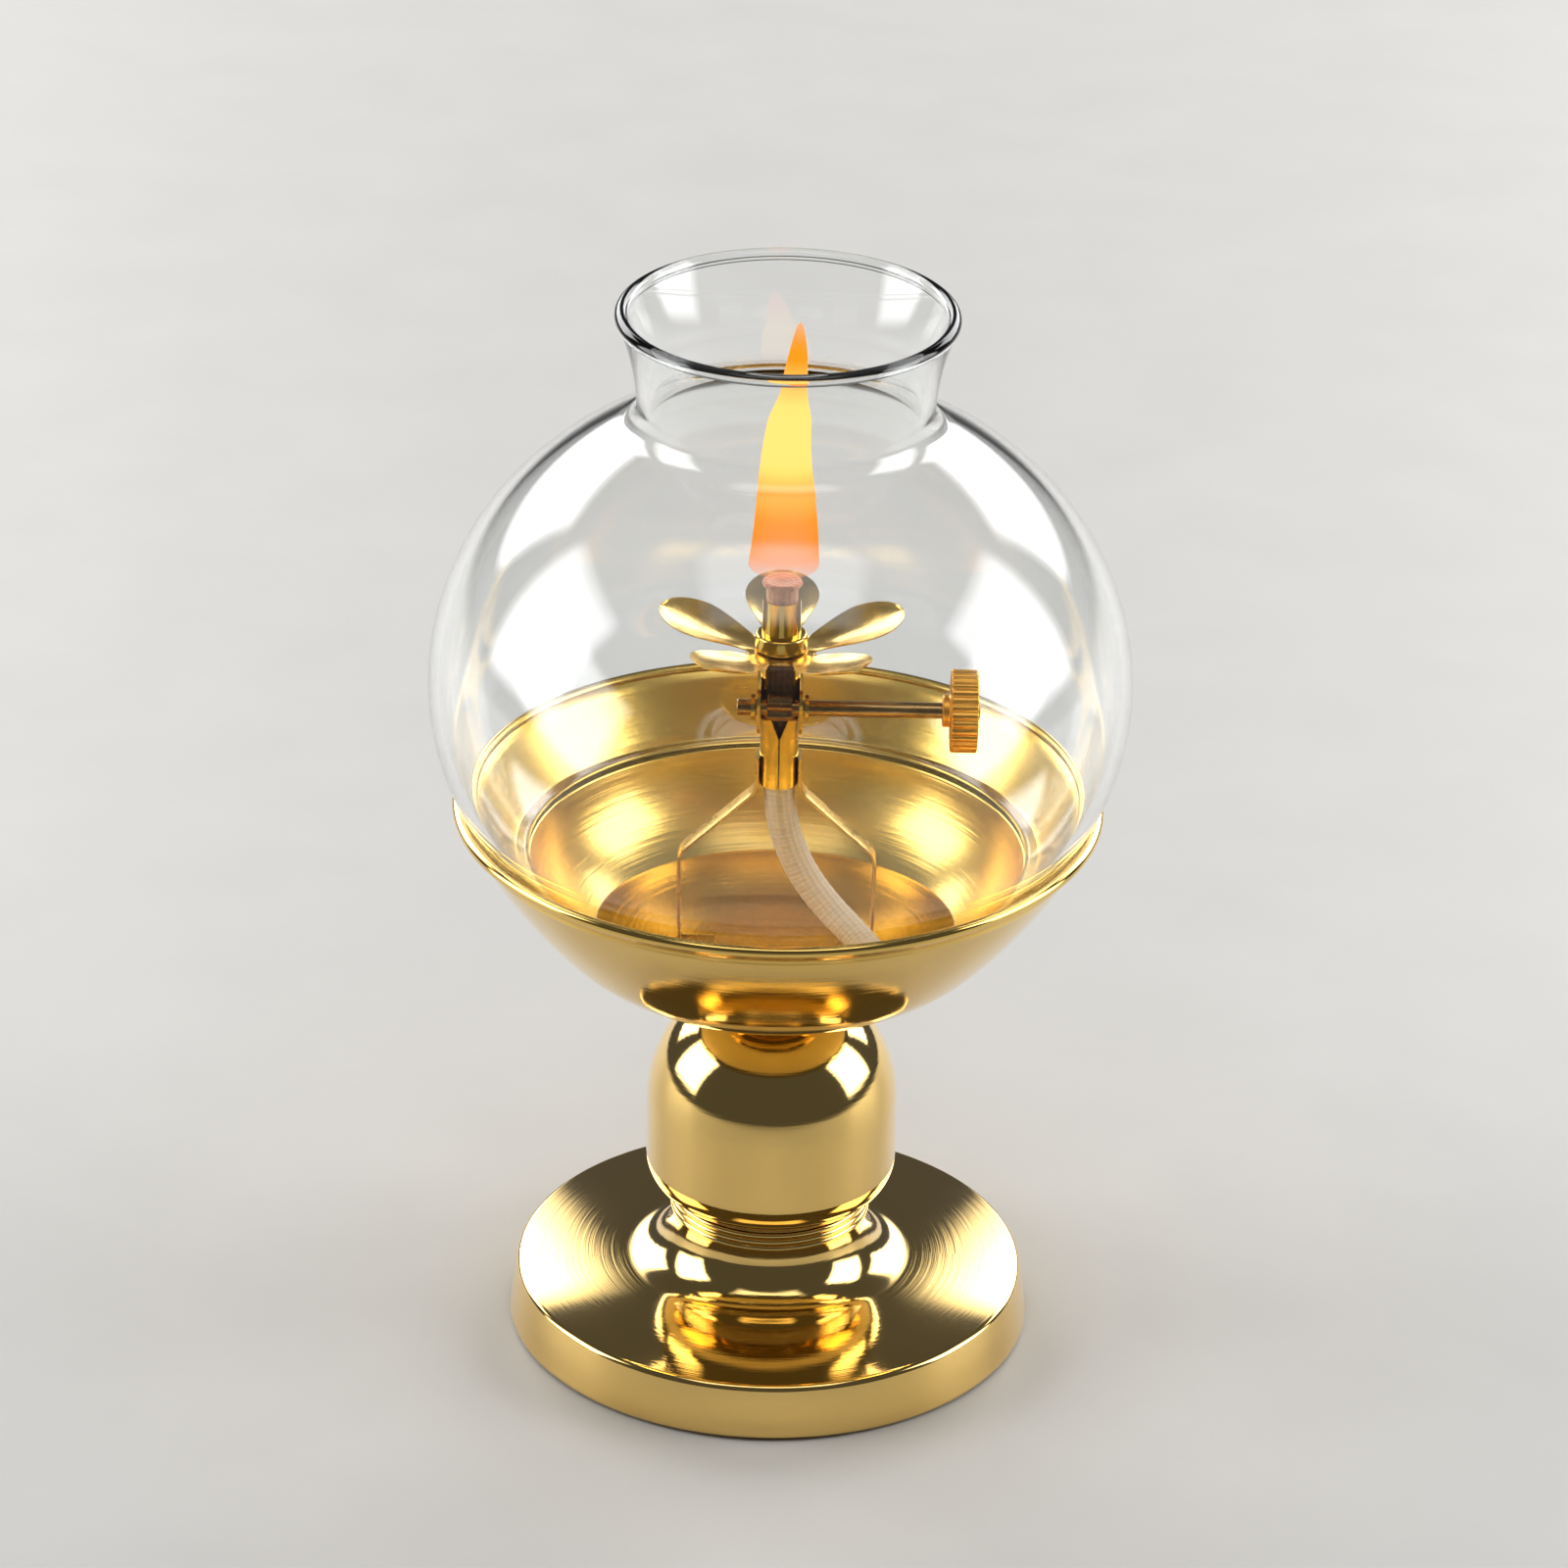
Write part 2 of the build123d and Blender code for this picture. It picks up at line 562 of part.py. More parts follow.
def thumb_wheel():
    """Knurled wheel with a short hub, riveted to the end of the shaft."""
    rim = Circle(WHEEL_RADIUS)
    cutter = Circle(2 * WHEEL_KNURL_DEPTH)
    rim -= PolarLocations(WHEEL_RADIUS + WHEEL_KNURL_DEPTH, WHEEL_KNURLS) * cutter
    wheel = Pos(0, 0, WHEEL_HUB_LENGTH) * extrude(rim, WHEEL_WIDTH)
    wheel += ring(WHEEL_HUB_RADIUS, 0, 0, WHEEL_HUB_LENGTH)
    wheel -= ring(SHAFT_RADIUS, 0, -1, WHEEL_WIDTH + WHEEL_HUB_LENGTH + 1)
    return on_shaft(wheel, WHEEL_LEFT - WHEEL_HUB_LENGTH)


# ---- wick ------------------------------------------------------------------------------------------
def wick():
    """The stretch held by the tube, flattened in front where the star wheel bites it."""
    bottom = TUBE_BOTTOM + WICK_JOIN
    top = tube_top + WICK_TOP_ABOVE_TUBE
    core = ring(wick_radius, 0, bottom, top)
    core = fillet(core.edges().group_by(Axis.Z)[-1], wick_radius / 3)
    flat = STAR_RADIUS + WICK_BITE_GAP
    flat_bottom = shaft_height - STAR_RADIUS - WICK_RAISE - 1
    flat_top = shaft_height + STAR_RADIUS + WICK_LOWER + 1
    cut = Box(4 * wick_radius, 2 * flat, flat_top - flat_bottom)
    return core - Pos(0, -shaft_forward, (flat_top + flat_bottom) / 2) * cut


def tail_radii():
    """Each arc takes 0.45 of the shorter of its two runs."""
    radii = []
    for before, corner, after in zip(TAIL_ROUTE, TAIL_ROUTE[1:], TAIL_ROUTE[2:]):
        run_in = Vector(*corner) - Vector(*before)
        run_out = Vector(*after) - Vector(*corner)
        turn = radians(run_in.get_angle(run_out))
        radii.append(0.45 * min(run_in.length, run_out.length) / tan(turn / 2))
    return radii


def wick_tail():
    radii = tail_radii()
    path = FilletPolyline(*TAIL_ROUTE, radius=radii)
    section = Plane(path @ 0, z_dir=path % 0) * Circle(wick_radius)
    tail = sweep(section, path)
    print("wick tail arc radii:", " ".join(f"{radius:.1f}" for radius in radii))
    print(f"wick tail length {path.length:.1f}, volume {tail.volume:.1f},", end=" ")
    print(f"section x length {section.area * path.length:.1f}")
    return tail


def main():
    os.makedirs("parts", exist_ok=True)
    save("base_foot", base_foot())
    save("base_pad", base_pad())
    save("base_weight", base_weight())
    save("tie_rod", tie_rod())
    save("tie_nut", tie_nut())
    save("lock_washer", lock_washer())
    save("tie_washer", tie_washer())
    save("stem_ring", stem_ring())
    save("stem_knob", stem_knob())
    save("stem_washer", stem_washer())
    save("bowl_boss", bowl_boss())
    save("bowl_cup", bowl_cup())
    save("lamp_oil", lamp_oil())
    globe_bands()
    save("wick_tube", wick_tube())
    save("left_leg", leg(-1))
    save("right_leg", leg(1))
    save("shaft_bracket", shaft_bracket())
    save("flower_petals", flower_petals())
    save("flower_collar", flower_collar())
    save("wick_shaft", wick_shaft())
    save("star_wheel", star_wheel())
    save("shaft_clips", shaft_clips())
    save("thumb_wheel", thumb_wheel())
    save("wick", wick())
    save("wick_tail", wick_tail())


main()
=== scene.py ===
"""Visual model of a brass oil lamp with a glass globe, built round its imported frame."""

import math

import bpy
import numpy as np
from mathutils import Matrix, Vector


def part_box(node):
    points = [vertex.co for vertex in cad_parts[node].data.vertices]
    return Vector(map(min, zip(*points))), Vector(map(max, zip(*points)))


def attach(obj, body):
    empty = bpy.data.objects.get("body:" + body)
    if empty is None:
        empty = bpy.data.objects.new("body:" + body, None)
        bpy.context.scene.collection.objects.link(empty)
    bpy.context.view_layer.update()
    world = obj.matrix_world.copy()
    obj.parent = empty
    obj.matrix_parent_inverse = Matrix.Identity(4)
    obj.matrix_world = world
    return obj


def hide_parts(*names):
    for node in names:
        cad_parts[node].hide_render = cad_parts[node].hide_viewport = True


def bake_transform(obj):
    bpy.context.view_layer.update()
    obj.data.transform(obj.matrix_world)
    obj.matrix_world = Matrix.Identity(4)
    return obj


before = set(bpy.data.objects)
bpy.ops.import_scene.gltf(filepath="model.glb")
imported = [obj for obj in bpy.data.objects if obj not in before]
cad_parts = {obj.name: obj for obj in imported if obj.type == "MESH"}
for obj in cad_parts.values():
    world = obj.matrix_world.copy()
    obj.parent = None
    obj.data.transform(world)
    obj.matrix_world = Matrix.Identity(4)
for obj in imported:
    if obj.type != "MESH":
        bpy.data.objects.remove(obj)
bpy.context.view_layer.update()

bl_info = {
    "name": "Brass Oil Lamp",
    "version": (1, 0, 0),
    "blender": (4, 5, 0),
    "location": "View3D > Sidebar > Oil Lamp",
    "description": "Builds a brass oil lamp with a glass globe, a petal burner and a burning wick",
    "category": "Add Mesh",
}

MM = 0.001
FULL_TURN = 2 * math.pi
ROD_HOLE = 3.3 * MM
PLAIT_PITCH = 1.7 * MM
PLAIT_RELIEF = 0.012
YARNS = 8


def box_of(node):
    """Lowest and highest corner of a CAD node at rest, as two arrays in metres."""
    low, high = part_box(node)
    return np.array(low), np.array(high)


# ---- sizes and colours -----------------------------------------------------------------------------
def length(name, default, description):
    return bpy.props.FloatProperty(
        name=name, description=description, default=default, min=0.0, precision=5,
        subtype="DISTANCE", unit="LENGTH",
    )


def colour(name, default, description):
    return bpy.props.FloatVectorProperty(
        name=name, description=description, default=default, size=3, min=0.0, max=1.0,
        subtype="COLOR",
    )


class StandSizes(bpy.types.PropertyGroup):
    """Sizes of the foot, stem and bowl."""

    foot_radius: length("Foot radius", box_of("base_foot")[1][0], "Radius of the foot at the floor")
    foot_bottom: length("Foot bottom", box_of("base_foot")[0][2], "Underside of the brass foot")
    foot_band: length("Foot band", 8.7 * MM, "Height of the foot's upright band")
    foot_taper: length("Foot taper", 1.4 * MM, "How much narrower the band is at its top")
    foot_edge: length("Foot edge", 0.8 * MM, "Rounding of the band's top edge")
    foot_crown: length("Foot crown", 1.2 * MM, "Rise of the top plate towards the cove")
    foot_cove: length("Foot cove", 7.4 * MM, "Radius of the cove into the neck")
    neck_radius: length("Neck radius", 14.6 * MM, "Radius of the neck")
    neck_bead: length("Neck bead", 0.55 * MM, "Radius of each turned bead on the neck")
    knob_radius: length("Knob radius", box_of("stem_knob")[1][0], "Radius of the knob's band")
    knob_seat: length("Knob seat", 15.2 * MM, "Radius of the knob's foot on the neck")
    knob_curl: length("Knob curl", 5.9 * MM, "Height of the curl under the knob's band")
    knob_band: length("Knob band", 9.5 * MM, "Height of the knob's band")
    knob_shoulder: length("Knob shoulder", 17.3 * MM, "Radius where the knob's dome begins")
    knob_shoulder_rise: length("Knob shoulder rise", 8.0 * MM, "Height from band to dome")
    knob_top: length("Knob top", 9.0 * MM, "Radius of the knob's flat top")
    bowl_wall: length("Bowl wall", 0.8 * MM, "Thickness of the bowl's sheet")
    bowl_flat: length("Bowl flat", 10.0 * MM, "Radius of the bowl's flat bottom")
    bowl_dish: length("Bowl dish", 25.0 * MM, "Radius of the bowl's shallow dish")
    bowl_dish_rise: length("Bowl dish rise", 3.1 * MM, "Height of the dish's edge")
    bowl_shoulder: length("Bowl shoulder", 34.6 * MM, "Radius where the flank begins")
    bowl_shoulder_rise: length("Bowl shoulder rise", 10.0 * MM, "Height where the flank begins")
    bowl_rim: length("Bowl rim", 47.6 * MM, "Radius of the rolled rim's centre line")
    bowl_bead: length("Bowl bead", 0.8 * MM, "Radius of the rolled rim")
    ledge_radius: length("Ledge radius", 37.6 * MM, "Inner edge of the globe's ledge")
    ledge_rise: length("Ledge rise", 19.2 * MM, "Height of the ledge above the bowl's underside")
    oil_level: length("Oil level", box_of("lamp_oil")[1][2], "Height of the oil's surface")


class GlobeSizes(bpy.types.PropertyGroup):
    """Sizes of the glass globe."""

    radius: length("Radius", box_of("globe_belly")[1][0], "Widest radius")
    lower: length("Lower half", 44.5 * MM, "Half height of the lower half-ellipse")
    upper: length("Upper half", 45.6 * MM, "Half height of the upper half-ellipse")
    wall: length("Wall", 1.8 * MM, "Thickness of the glass")
    foot_bead: length("Foot bead", 0.95 * MM, "Radius of the rounded foot rim")
    lip_bead: length("Lip bead", 1.0 * MM, "Radius of the rounded lip")
    shoulder: length("Shoulder", 24.0 * MM, "Radius where the neck's hollow begins")
    neck: length("Neck", 21.6 * MM, "Narrowest radius of the neck")
    neck_rise: length("Neck rise", 44.4 * MM, "Neck above the widest point")
    lip: length("Lip", 23.9 * MM, "Radius of the lip's centre line")
    lip_rise: length("Lip rise", 57.8 * MM, "Lip above the widest point")


class BurnerSizes(bpy.types.PropertyGroup):
    """Sizes of the burner, its wick and the flame."""

    tube_radius: length("Tube radius", box_of("wick_tube")[1][0], "Outer radius of the wick tube")
    tube_wall: length("Tube wall", 0.4 * MM, "Thickness of the wick tube")
    seam: length("Seam", 0.1 * MM, "Half width of the tube's front seam")
    window: length("Window", 2.2 * MM, "Half width of the window in the tube")
    window_point: length("Window point", 8.3 * MM, "Where the seam opens, above the tube's end")
    window_corner: length("Window corner", 13.6 * MM, "Where the window is at its full width")
    window_top: length("Window top", 20.9 * MM, "Top of the window, above the tube's end")
    leg_width: length("Leg width", 3.4 * MM, "Width of the legs' strip")
    leg_thickness: length("Leg thickness", 0.5 * MM, "Thickness of the legs' strip")
    leg_drop: length("Leg drop", 0.9 * MM, "Where the strip bends outward, below the tube's end")
    leg_knee: length("Leg knee", 12.0 * MM, "The knee, below the tube's end")
    leg_reach: length("Leg reach", 14.7 * MM, "Radius of the legs' upright part")
    leg_foot: length("Leg foot", 5.4 * MM, "Length of each foot")
    leg_bend: length("Leg bend", 1.5 * MM, "Rounding of the legs' bends")
    petal_width: length("Petal width", 5.5 * MM, "Half width of a petal")
    petal_neck: length("Petal neck", 2.2 * MM, "Half width of a petal's neck")
    petal_reach: length("Petal reach", 18.6 * MM, "Radius of the petals' tips")
    petal_rise: length("Petal rise", 4.2 * MM, "Rise of the petals' tips")
    petal_cup: length("Petal cup", 1.1 * MM, "Upturn of the petals' edges")
    petal_thickness: length("Petal thickness", 0.45 * MM, "Thickness of the petals")
    plate_radius: length("Plate radius", 5.2 * MM, "Radius of the petal plate")
    collar_radius: length("Collar radius", box_of("flower_collar")[1][0], "Radius of the collar")
    shaft_radius: length("Shaft radius", 1.2 * MM, "Radius of the wick raiser's shaft")
    wheel_radius: length("Wheel radius", 6.15 * MM, "Radius of the thumbwheel")
    wheel_hub: length("Wheel hub", 2.4 * MM, "Radius of the thumbwheel's hub")
    wheel_hub_length: length("Wheel hub length", 1.2 * MM, "Length of the thumbwheel's hub")
    wheel_knurl: length("Wheel knurl", 0.22 * MM, "Depth of the thumbwheel's knurling")
    wick_radius: length("Wick radius", 2.37 * MM, "Radius of the wick")
    wick_head: length("Wick head", 3.0 * MM, "Radius of the wick's fluffed head")
    wick_clear: length("Wick clearance", 2.1 * MM, "Height of the fluffed head above the tube")
    flame_height: length("Flame height", 40.0 * MM, "Height of the flame above the wick's shoulder")
    flame_radius: length("Flame radius", 5.3 * MM, "Widest radius of the flame")
    flame_lean: length("Flame lean", 1.7 * MM, "How far the flame's tip leans to the right")


class LampColours(bpy.types.PropertyGroup):
    """Colours of the lamp's finishes."""

    gold: colour("Gold", (0.88, 0.60, 0.19), "Polished brass")
    spun: colour("Spun brass", (0.86, 0.57, 0.14), "Satin brass inside the bowl")
    sheet: colour("Sheet brass", (0.80, 0.56, 0.14), "Rolled sheet of the burner")
    strip: colour("Strip brass", (0.78, 0.53, 0.17), "Satin strip of the legs")
    aged: colour("Aged brass", (0.42, 0.26, 0.10), "Darkened brass of the wick raiser")
    amber: colour("Amber brass", (0.86, 0.42, 0.07), "Lacquered thumbwheel")
    oil: colour("Oil", (0.93, 0.66, 0.20), "Lamp oil")
    cotton: colour("Cotton", (0.86, 0.74, 0.60), "Wick cotton")
    felt: colour("Felt", (0.07, 0.16, 0.10), "Felt under the foot")
    flame_core: colour("Flame body", (1.0, 0.60, 0.13), "Bright body of the flame")
    flame_base: colour("Flame base", (1.0, 0.24, 0.01), "Translucent base of the flame")


def stand():
    return bpy.context.scene.lamp_stand


def globe():
    return bpy.context.scene.lamp_globe


def burner():
    return bpy.context.scene.lamp_burner


def colours():
    return bpy.context.scene.lamp_colours


# ---- surfaces on grids -----------------------------------------------------------------------------
def surface(name, points, close_rows=False, close_columns=True, sharp=35.0):
    """A mesh of a grid of points, rows by columns, with a UV map of columns across and rows up.

    A row whose points all coincide is a pole.  Faces are turned outwards by the sign of the volume
    that they enclose, which is the sum of each corner's triple product over six.  The UV map holds
    the share of the turn across and the length travelled over the rows, in metres.
    """
    rows, columns = points.shape[:2]
    index = np.arange(rows * columns).reshape(rows, columns)
    for row in (0, rows - 1):
        if np.ptp(points[row], axis=0).max() < 1e-9:
            index[row] = index[row, 0]
    travel = np.linalg.norm(np.diff(points, axis=0), axis=2).max(axis=1)
    travel = np.append(np.concatenate([[0.0], np.cumsum(travel)]), 0.0)
    if close_rows:
        travel[rows] = travel[rows - 1] + np.linalg.norm(points[0] - points[-1], axis=1).max()
    low, left = np.meshgrid(
        np.arange(rows if close_rows else rows - 1),
        np.arange(columns if close_columns else columns - 1),
        indexing="ij",
    )
    low, left = low.ravel(), left.ravel()
    corner_row = np.stack([low, low, low + 1, low + 1], axis=1)
    corner_column = np.stack([left, left + 1, left + 1, left], axis=1)
    corner = index[corner_row % rows, corner_column % columns]
    kept = np.ones(corner.shape, bool)
    kept[:, 1] = corner[:, 1] != corner[:, 0]
    kept[:, 3] = corner[:, 3] != corner[:, 2]
    used, flat = np.unique(corner, return_inverse=True)
    corner = flat.reshape(corner.shape)
    vertices = points.reshape(-1, 3)[used]
    first, second, third, fourth = (vertices[corner[:, k]] for k in range(4))
    volume = np.sum(first * np.cross(second, third)) + np.sum(first * np.cross(third, fourth))
    uv = np.stack([corner_column / columns, travel[corner_row]], axis=2)
    if volume < 0:
        corner, kept, uv = corner[:, ::-1], kept[:, ::-1], uv[:, ::-1]
    sides = kept.sum(axis=1)
    loops = corner[kept]
    mesh = bpy.data.meshes.new(name)
    mesh.vertices.add(len(vertices))
    mesh.vertices.foreach_set("co", vertices.astype(np.float32).ravel())
    mesh.loops.add(len(loops))
    mesh.loops.foreach_set("vertex_index", loops.astype(np.int32))
    mesh.polygons.add(len(sides))
    starts = np.concatenate([[0], np.cumsum(sides)[:-1]])
    mesh.polygons.foreach_set("loop_start", starts.astype(np.int32))
    mesh.update(calc_edges=True)
    layer = mesh.uv_layers.new(name="UVMap")
    layer.data.foreach_set("uv", uv[kept].astype(np.float32).ravel())
    mesh.shade_smooth()
    mesh.set_sharp_from_angle(angle=math.radians(sharp))
    mesh.validate()
    piece = bpy.data.objects.new(name, mesh)
    bpy.context.scene.collection.objects.link(piece)
    return piece


def spun(profile, segments=192, ripple=1.0):
    """A grid of points: a profile of radius and height carried round the vertical axis.

    Each point is radius times the cosine and sine of the turn, at its own height.  A ripple is a
    factor on the radius, rows by columns.
    """
    turn = np.arange(segments) * FULL_TURN / segments
    radius = profile[:, :1] * ripple * np.ones((1, segments))
    height = np.repeat(profile[:, 1:], segments, axis=1)
    return np.stack([radius * np.cos(turn), radius * np.sin(turn), height], axis=2)


def turned(name, profile, closed=True, **options):
    """A lathe-turned piece about the lamp's own axis."""
    return surface(name, spun(profile, **options), close_rows=closed)


def carried(name, section, path, across, scale=None, **options):
    """A closed section carried along a path, with a flat end at each of the path's ends.

    The section's first axis lies along the given direction made square to the path, and its second
    axis along their cross product.  The scale, along each of the two, is given row by row.
    """
    tangent = np.gradient(path, axis=0)
    tangent /= np.linalg.norm(tangent, axis=1)[:, None]
    across = np.broadcast_to(np.asarray(across, float), path.shape)
    across = across - tangent * np.sum(across * tangent, axis=1)[:, None]
    across /= np.linalg.norm(across, axis=1)[:, None]
    upward = np.cross(tangent, across)
    scale = np.broadcast_to(np.ones(2) if scale is None else scale, (len(path), 2))[:, None]
    rows = (
        path[:, None]
        + section[None, :, :1] * scale[..., :1] * across[:, None]
        + section[None, :, 1:] * scale[..., 1:] * upward[:, None]
    )
    ends = [np.broadcast_to(point, (1, len(section), 3)) for point in (path[0], path[-1])]
    return surface(name, np.concatenate([ends[0], rows, ends[1]]), **options)


def arc(start, end, angle, steps=12):
    """An arc from start to end that leaves at this angle, and the angle at which it arrives.

    The arrival angle is twice the chord's less the departure's.  Points follow the circle whose
    radius is the chord over twice the sine of half the turn.
    """
    start, end = np.array(start, float), np.array(end, float)
    step = end - start
    chord = math.atan2(step[1], step[0])
    half = (chord - angle + math.pi) % FULL_TURN - math.pi
    if abs(half) < 1e-6:
        return np.linspace(start, end, steps), angle
    radius = np.linalg.norm(step) / (2 * math.sin(half))
    turn = angle + np.linspace(0, 2 * half, steps)
    points = np.stack(
        [
            start[0] + radius * (np.sin(turn) - math.sin(angle)),
            start[1] - radius * (np.cos(turn) - math.cos(angle)),
        ],
        axis=1,
    )
    return points, angle + 2 * half


def circle(centre, radius, start, end, steps=12):
    """Points on a circle from one angle to another, in degrees."""
    turn = np.radians(np.linspace(start, end, steps))
    return np.stack([centre[0] + radius * np.cos(turn), centre[1] + radius * np.sin(turn)], axis=1)


def rounded(corners, radius, steps=5):
    """A path of straight lines whose inner corners are rounded.

    Each corner becomes a parabola that starts and ends one radius from it along its two lines.
    """
    corners = np.array(corners, float)
    share = np.linspace(0, 1, steps)[:, None]
    out = [corners[:1]]
    for before, corner, after in zip(corners, corners[1:], corners[2:]):
        enter = corner + (before - corner) * radius / np.linalg.norm(before - corner)
        leave = corner + (after - corner) * radius / np.linalg.norm(after - corner)
        out.append((1 - share) ** 2 * enter + 2 * share * (1 - share) * corner + share**2 * leave)
    out.append(corners[-1:])
    return np.concatenate(out)


def joined(*parts):
    """Profile parts end to end, without points that repeat."""
    points = np.concatenate([np.atleast_2d(np.array(part, float)) for part in parts])
    fresh = np.linalg.norm(np.diff(points, axis=0), axis=1) > 1e-7
    return points[np.concatenate([[True], fresh])]


def stadium(width, thickness, steps=6):
    """A flat strip's section with rounded edges, anticlockwise."""
    radius = thickness / 2
    reach = width / 2 - radius
    right = circle((reach, 0), radius, -90, 90, steps)
    left = circle((-reach, 0), radius, 90, 270, steps)
    return np.concatenate([right, left])


def place(piece, material, body, slot, *nodes):
    """Finish a piece: its material, the body it rides on and the CAD nodes it stands for. The slot is
    not used.
    """
    piece.data.materials.clear()
    piece.data.materials.append(material)
    if body:
        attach(piece, body)
    if nodes:
        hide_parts(*nodes)
    return piece


# ---- shader building -------------------------------------------------------------------------------
class Value:
    """A shader value that plain arithmetic can be written with; each operation adds a Math node."""

    def __init__(self, finish, socket):
        self.finish = finish
        self.socket = socket

    def math(self, operation, *others):
        inputs = dict(enumerate((self,) + others))
        node = self.finish.node("ShaderNodeMath", inputs, operation=operation)
        return Value(self.finish, node.outputs[0])

    def __add__(self, other):
        return self.math("ADD", other)

    def __sub__(self, other):
        return self.math("SUBTRACT", other)

    def __rsub__(self, other):
        return self.math("MULTIPLY", -1.0).math("ADD", other)

    def __mul__(self, other):
        return self.math("MULTIPLY", other)

    def __truediv__(self, other):
        return self.math("DIVIDE", other)

    __radd__ = __add__
    __rmul__ = __mul__

    def sine(self):
        return self.math("SINE")

    def above(self, edge, softness):
        """Nought below the edge and one above it, with a soft step between."""
        share = (self - edge) / softness + 0.5
        return share.math("MAXIMUM", 0.0).math("MINIMUM", 1.0)


class NodeTree:
    """Whatever has a node tree, such as a light, with its nodes taken out."""

    def __init__(self, owner):
        owner.use_nodes = True
        self.tree = owner.node_tree
        self.tree.nodes.clear()

    def connect(self, source, socket):
        """Link a value or a socket into this socket, or set it where the source is a constant."""
        if isinstance(source, Value):
            source = source.socket
        if isinstance(source, bpy.types.NodeSocket):
            self.tree.links.new(source, socket)
        else:
            socket.default_value = source

    def node(self, kind, inputs=None, stops=None, **settings):
        """A node of this type, with its settings, its colour stops and its inputs' values."""
        node = self.tree.nodes.new(kind)
        for key, value in settings.items():
            setattr(node, key, value)
        if stops:
            elements = node.color_ramp.elements
            while len(elements) < len(stops):
                elements.new(1.0)
            for element, (position, shade) in zip(elements, stops):
                element.position = position
                element.color = (*shade, 1.0)
        for key, value in (inputs or {}).items():
            self.connect(value, node.inputs[key.replace("_", " ") if isinstance(key, str) else key])
        return node


class Finish(NodeTree):
    """A material under construction, with its Principled shader."""

    def __init__(self, name, **constants):
        self.material = bpy.data.materials.new(name)
        super().__init__(self.material)
        self.output = self.node("ShaderNodeOutputMaterial")
        self.shader = self.node("ShaderNodeBsdfPrincipled", constants)
        self.connect(self.shader.outputs[0], self.output.inputs["Surface"])

    def feed(self, **sources):
        """Link values into the Principled shader's sockets."""
        for name, source in sources.items():
            self.connect(source, self.shader.inputs[name.replace("_", " ")])
        return self

    def uv(self):
        """The turn, as a share, and the distance travelled, in millimetres, on a lathe-made surface."""
        place = self.node("ShaderNodeUVMap", uv_map="UVMap")
        parts = self.node("ShaderNodeSeparateXYZ", {0: place.outputs[0]})
        return Value(self, parts.outputs[0]), Value(self, parts.outputs[1]) / MM

    def place(self):
        """Object coordinates, in metres."""
        return self.node("ShaderNodeTexCoord").outputs["Object"]

    def height(self):
        parts = self.node("ShaderNodeSeparateXYZ", {0: self.place()})
        return Value(self, parts.outputs[2]) / MM

    def vector(self, x, y, z=0.0):
        return self.node("ShaderNodeCombineXYZ", {0: x, 1: y, 2: z}).outputs[0]

    def noise(self, place, scale, detail=2.0, roughness=0.5):
        """Noise about nought, from about minus a half to a half."""
        inputs = {"Vector": place, "Scale": scale, "Detail": detail, "Roughness": roughness}
        return Value(self, self.node("ShaderNodeTexNoise", inputs).outputs[0]) - 0.5

    def mix(self, factor, first, second):
        """A mix of two colours."""
        node = self.node("ShaderNodeMix", data_type="RGBA")
        self.connect(factor, node.inputs[0])
        for socket, source in zip((node.inputs[6], node.inputs[7]), (first, second)):
            self.connect(source if hasattr(source, "bl_idname") else (*source, 1.0), socket)
        return node.outputs[2]

    def bump(self, height, depth):
        """A normal bent by a height, whose unit is this depth in metres."""
        inputs = {"Height": height, "Distance": depth, "Strength": 1.0}
        return self.node("ShaderNodeBump", inputs).outputs[0]


def darker(shade, share):
    return tuple(channel * share for channel in shade)


def turned_brass(name, shade, roughness, groove, satin=None, satin_from=None):
    """Brass off a lathe: fine rings round the axis, broken a little along the turn, and a thin haze.

    The satin roughness takes over beyond a distance along the profile, in millimetres.
    """
    finish = Finish(name, Metallic=1.0, Coat_Weight=0.5, Coat_Roughness=0.12)
    turn, travel = finish.uv()
    rings = finish.noise(finish.vector(turn * 2.0, travel * 1.3), 1.0, 3.0, 0.6)
    fine = finish.noise(finish.vector(turn * 40.0, travel * 9.0), 1.0, 2.0)
    haze = finish.noise(finish.place(), 55.0, 3.0)
    level = haze * 0.08 + fine * 0.05 + roughness
    relief = rings + fine * 0.12
    if satin is not None:
        inside = travel.above(satin_from, 0.6)
        level = level + inside * (satin - roughness)
        relief = relief * (inside * 2.2 + 1.0)
    tint = finish.mix(haze + 0.5 + rings * 0.35, darker(shade, 0.90), shade)
    normal = finish.bump(relief, groove)
    finish.feed(Base_Color=tint, Roughness=level.math("MAXIMUM", 0.02), Normal=normal)
    return finish.material


def sheet_brass(name, shade, roughness, grain=300.0):
    """Rolled or pressed brass sheet: drawn lines, faint ripples and a slight heat tint."""
    finish = Finish(name, Metallic=1.0)
    stretch = finish.node(
        "ShaderNodeMapping", {"Vector": finish.place(), "Scale": (1.0, 1.0, 0.12)}
    ).outputs[0]
    lines = finish.noise(stretch, grain * 6.0, 2.0)
    cloud = finish.noise(finish.place(), grain, 3.0)
    tint = finish.mix(cloud + 0.5, darker(shade, 0.72), shade)
    normal = finish.bump(cloud + lines * 0.3, 0.06 * MM)
    finish.feed(Base_Color=tint, Roughness=cloud * 0.14 + lines * 0.05 + roughness, Normal=normal)
    return finish.material


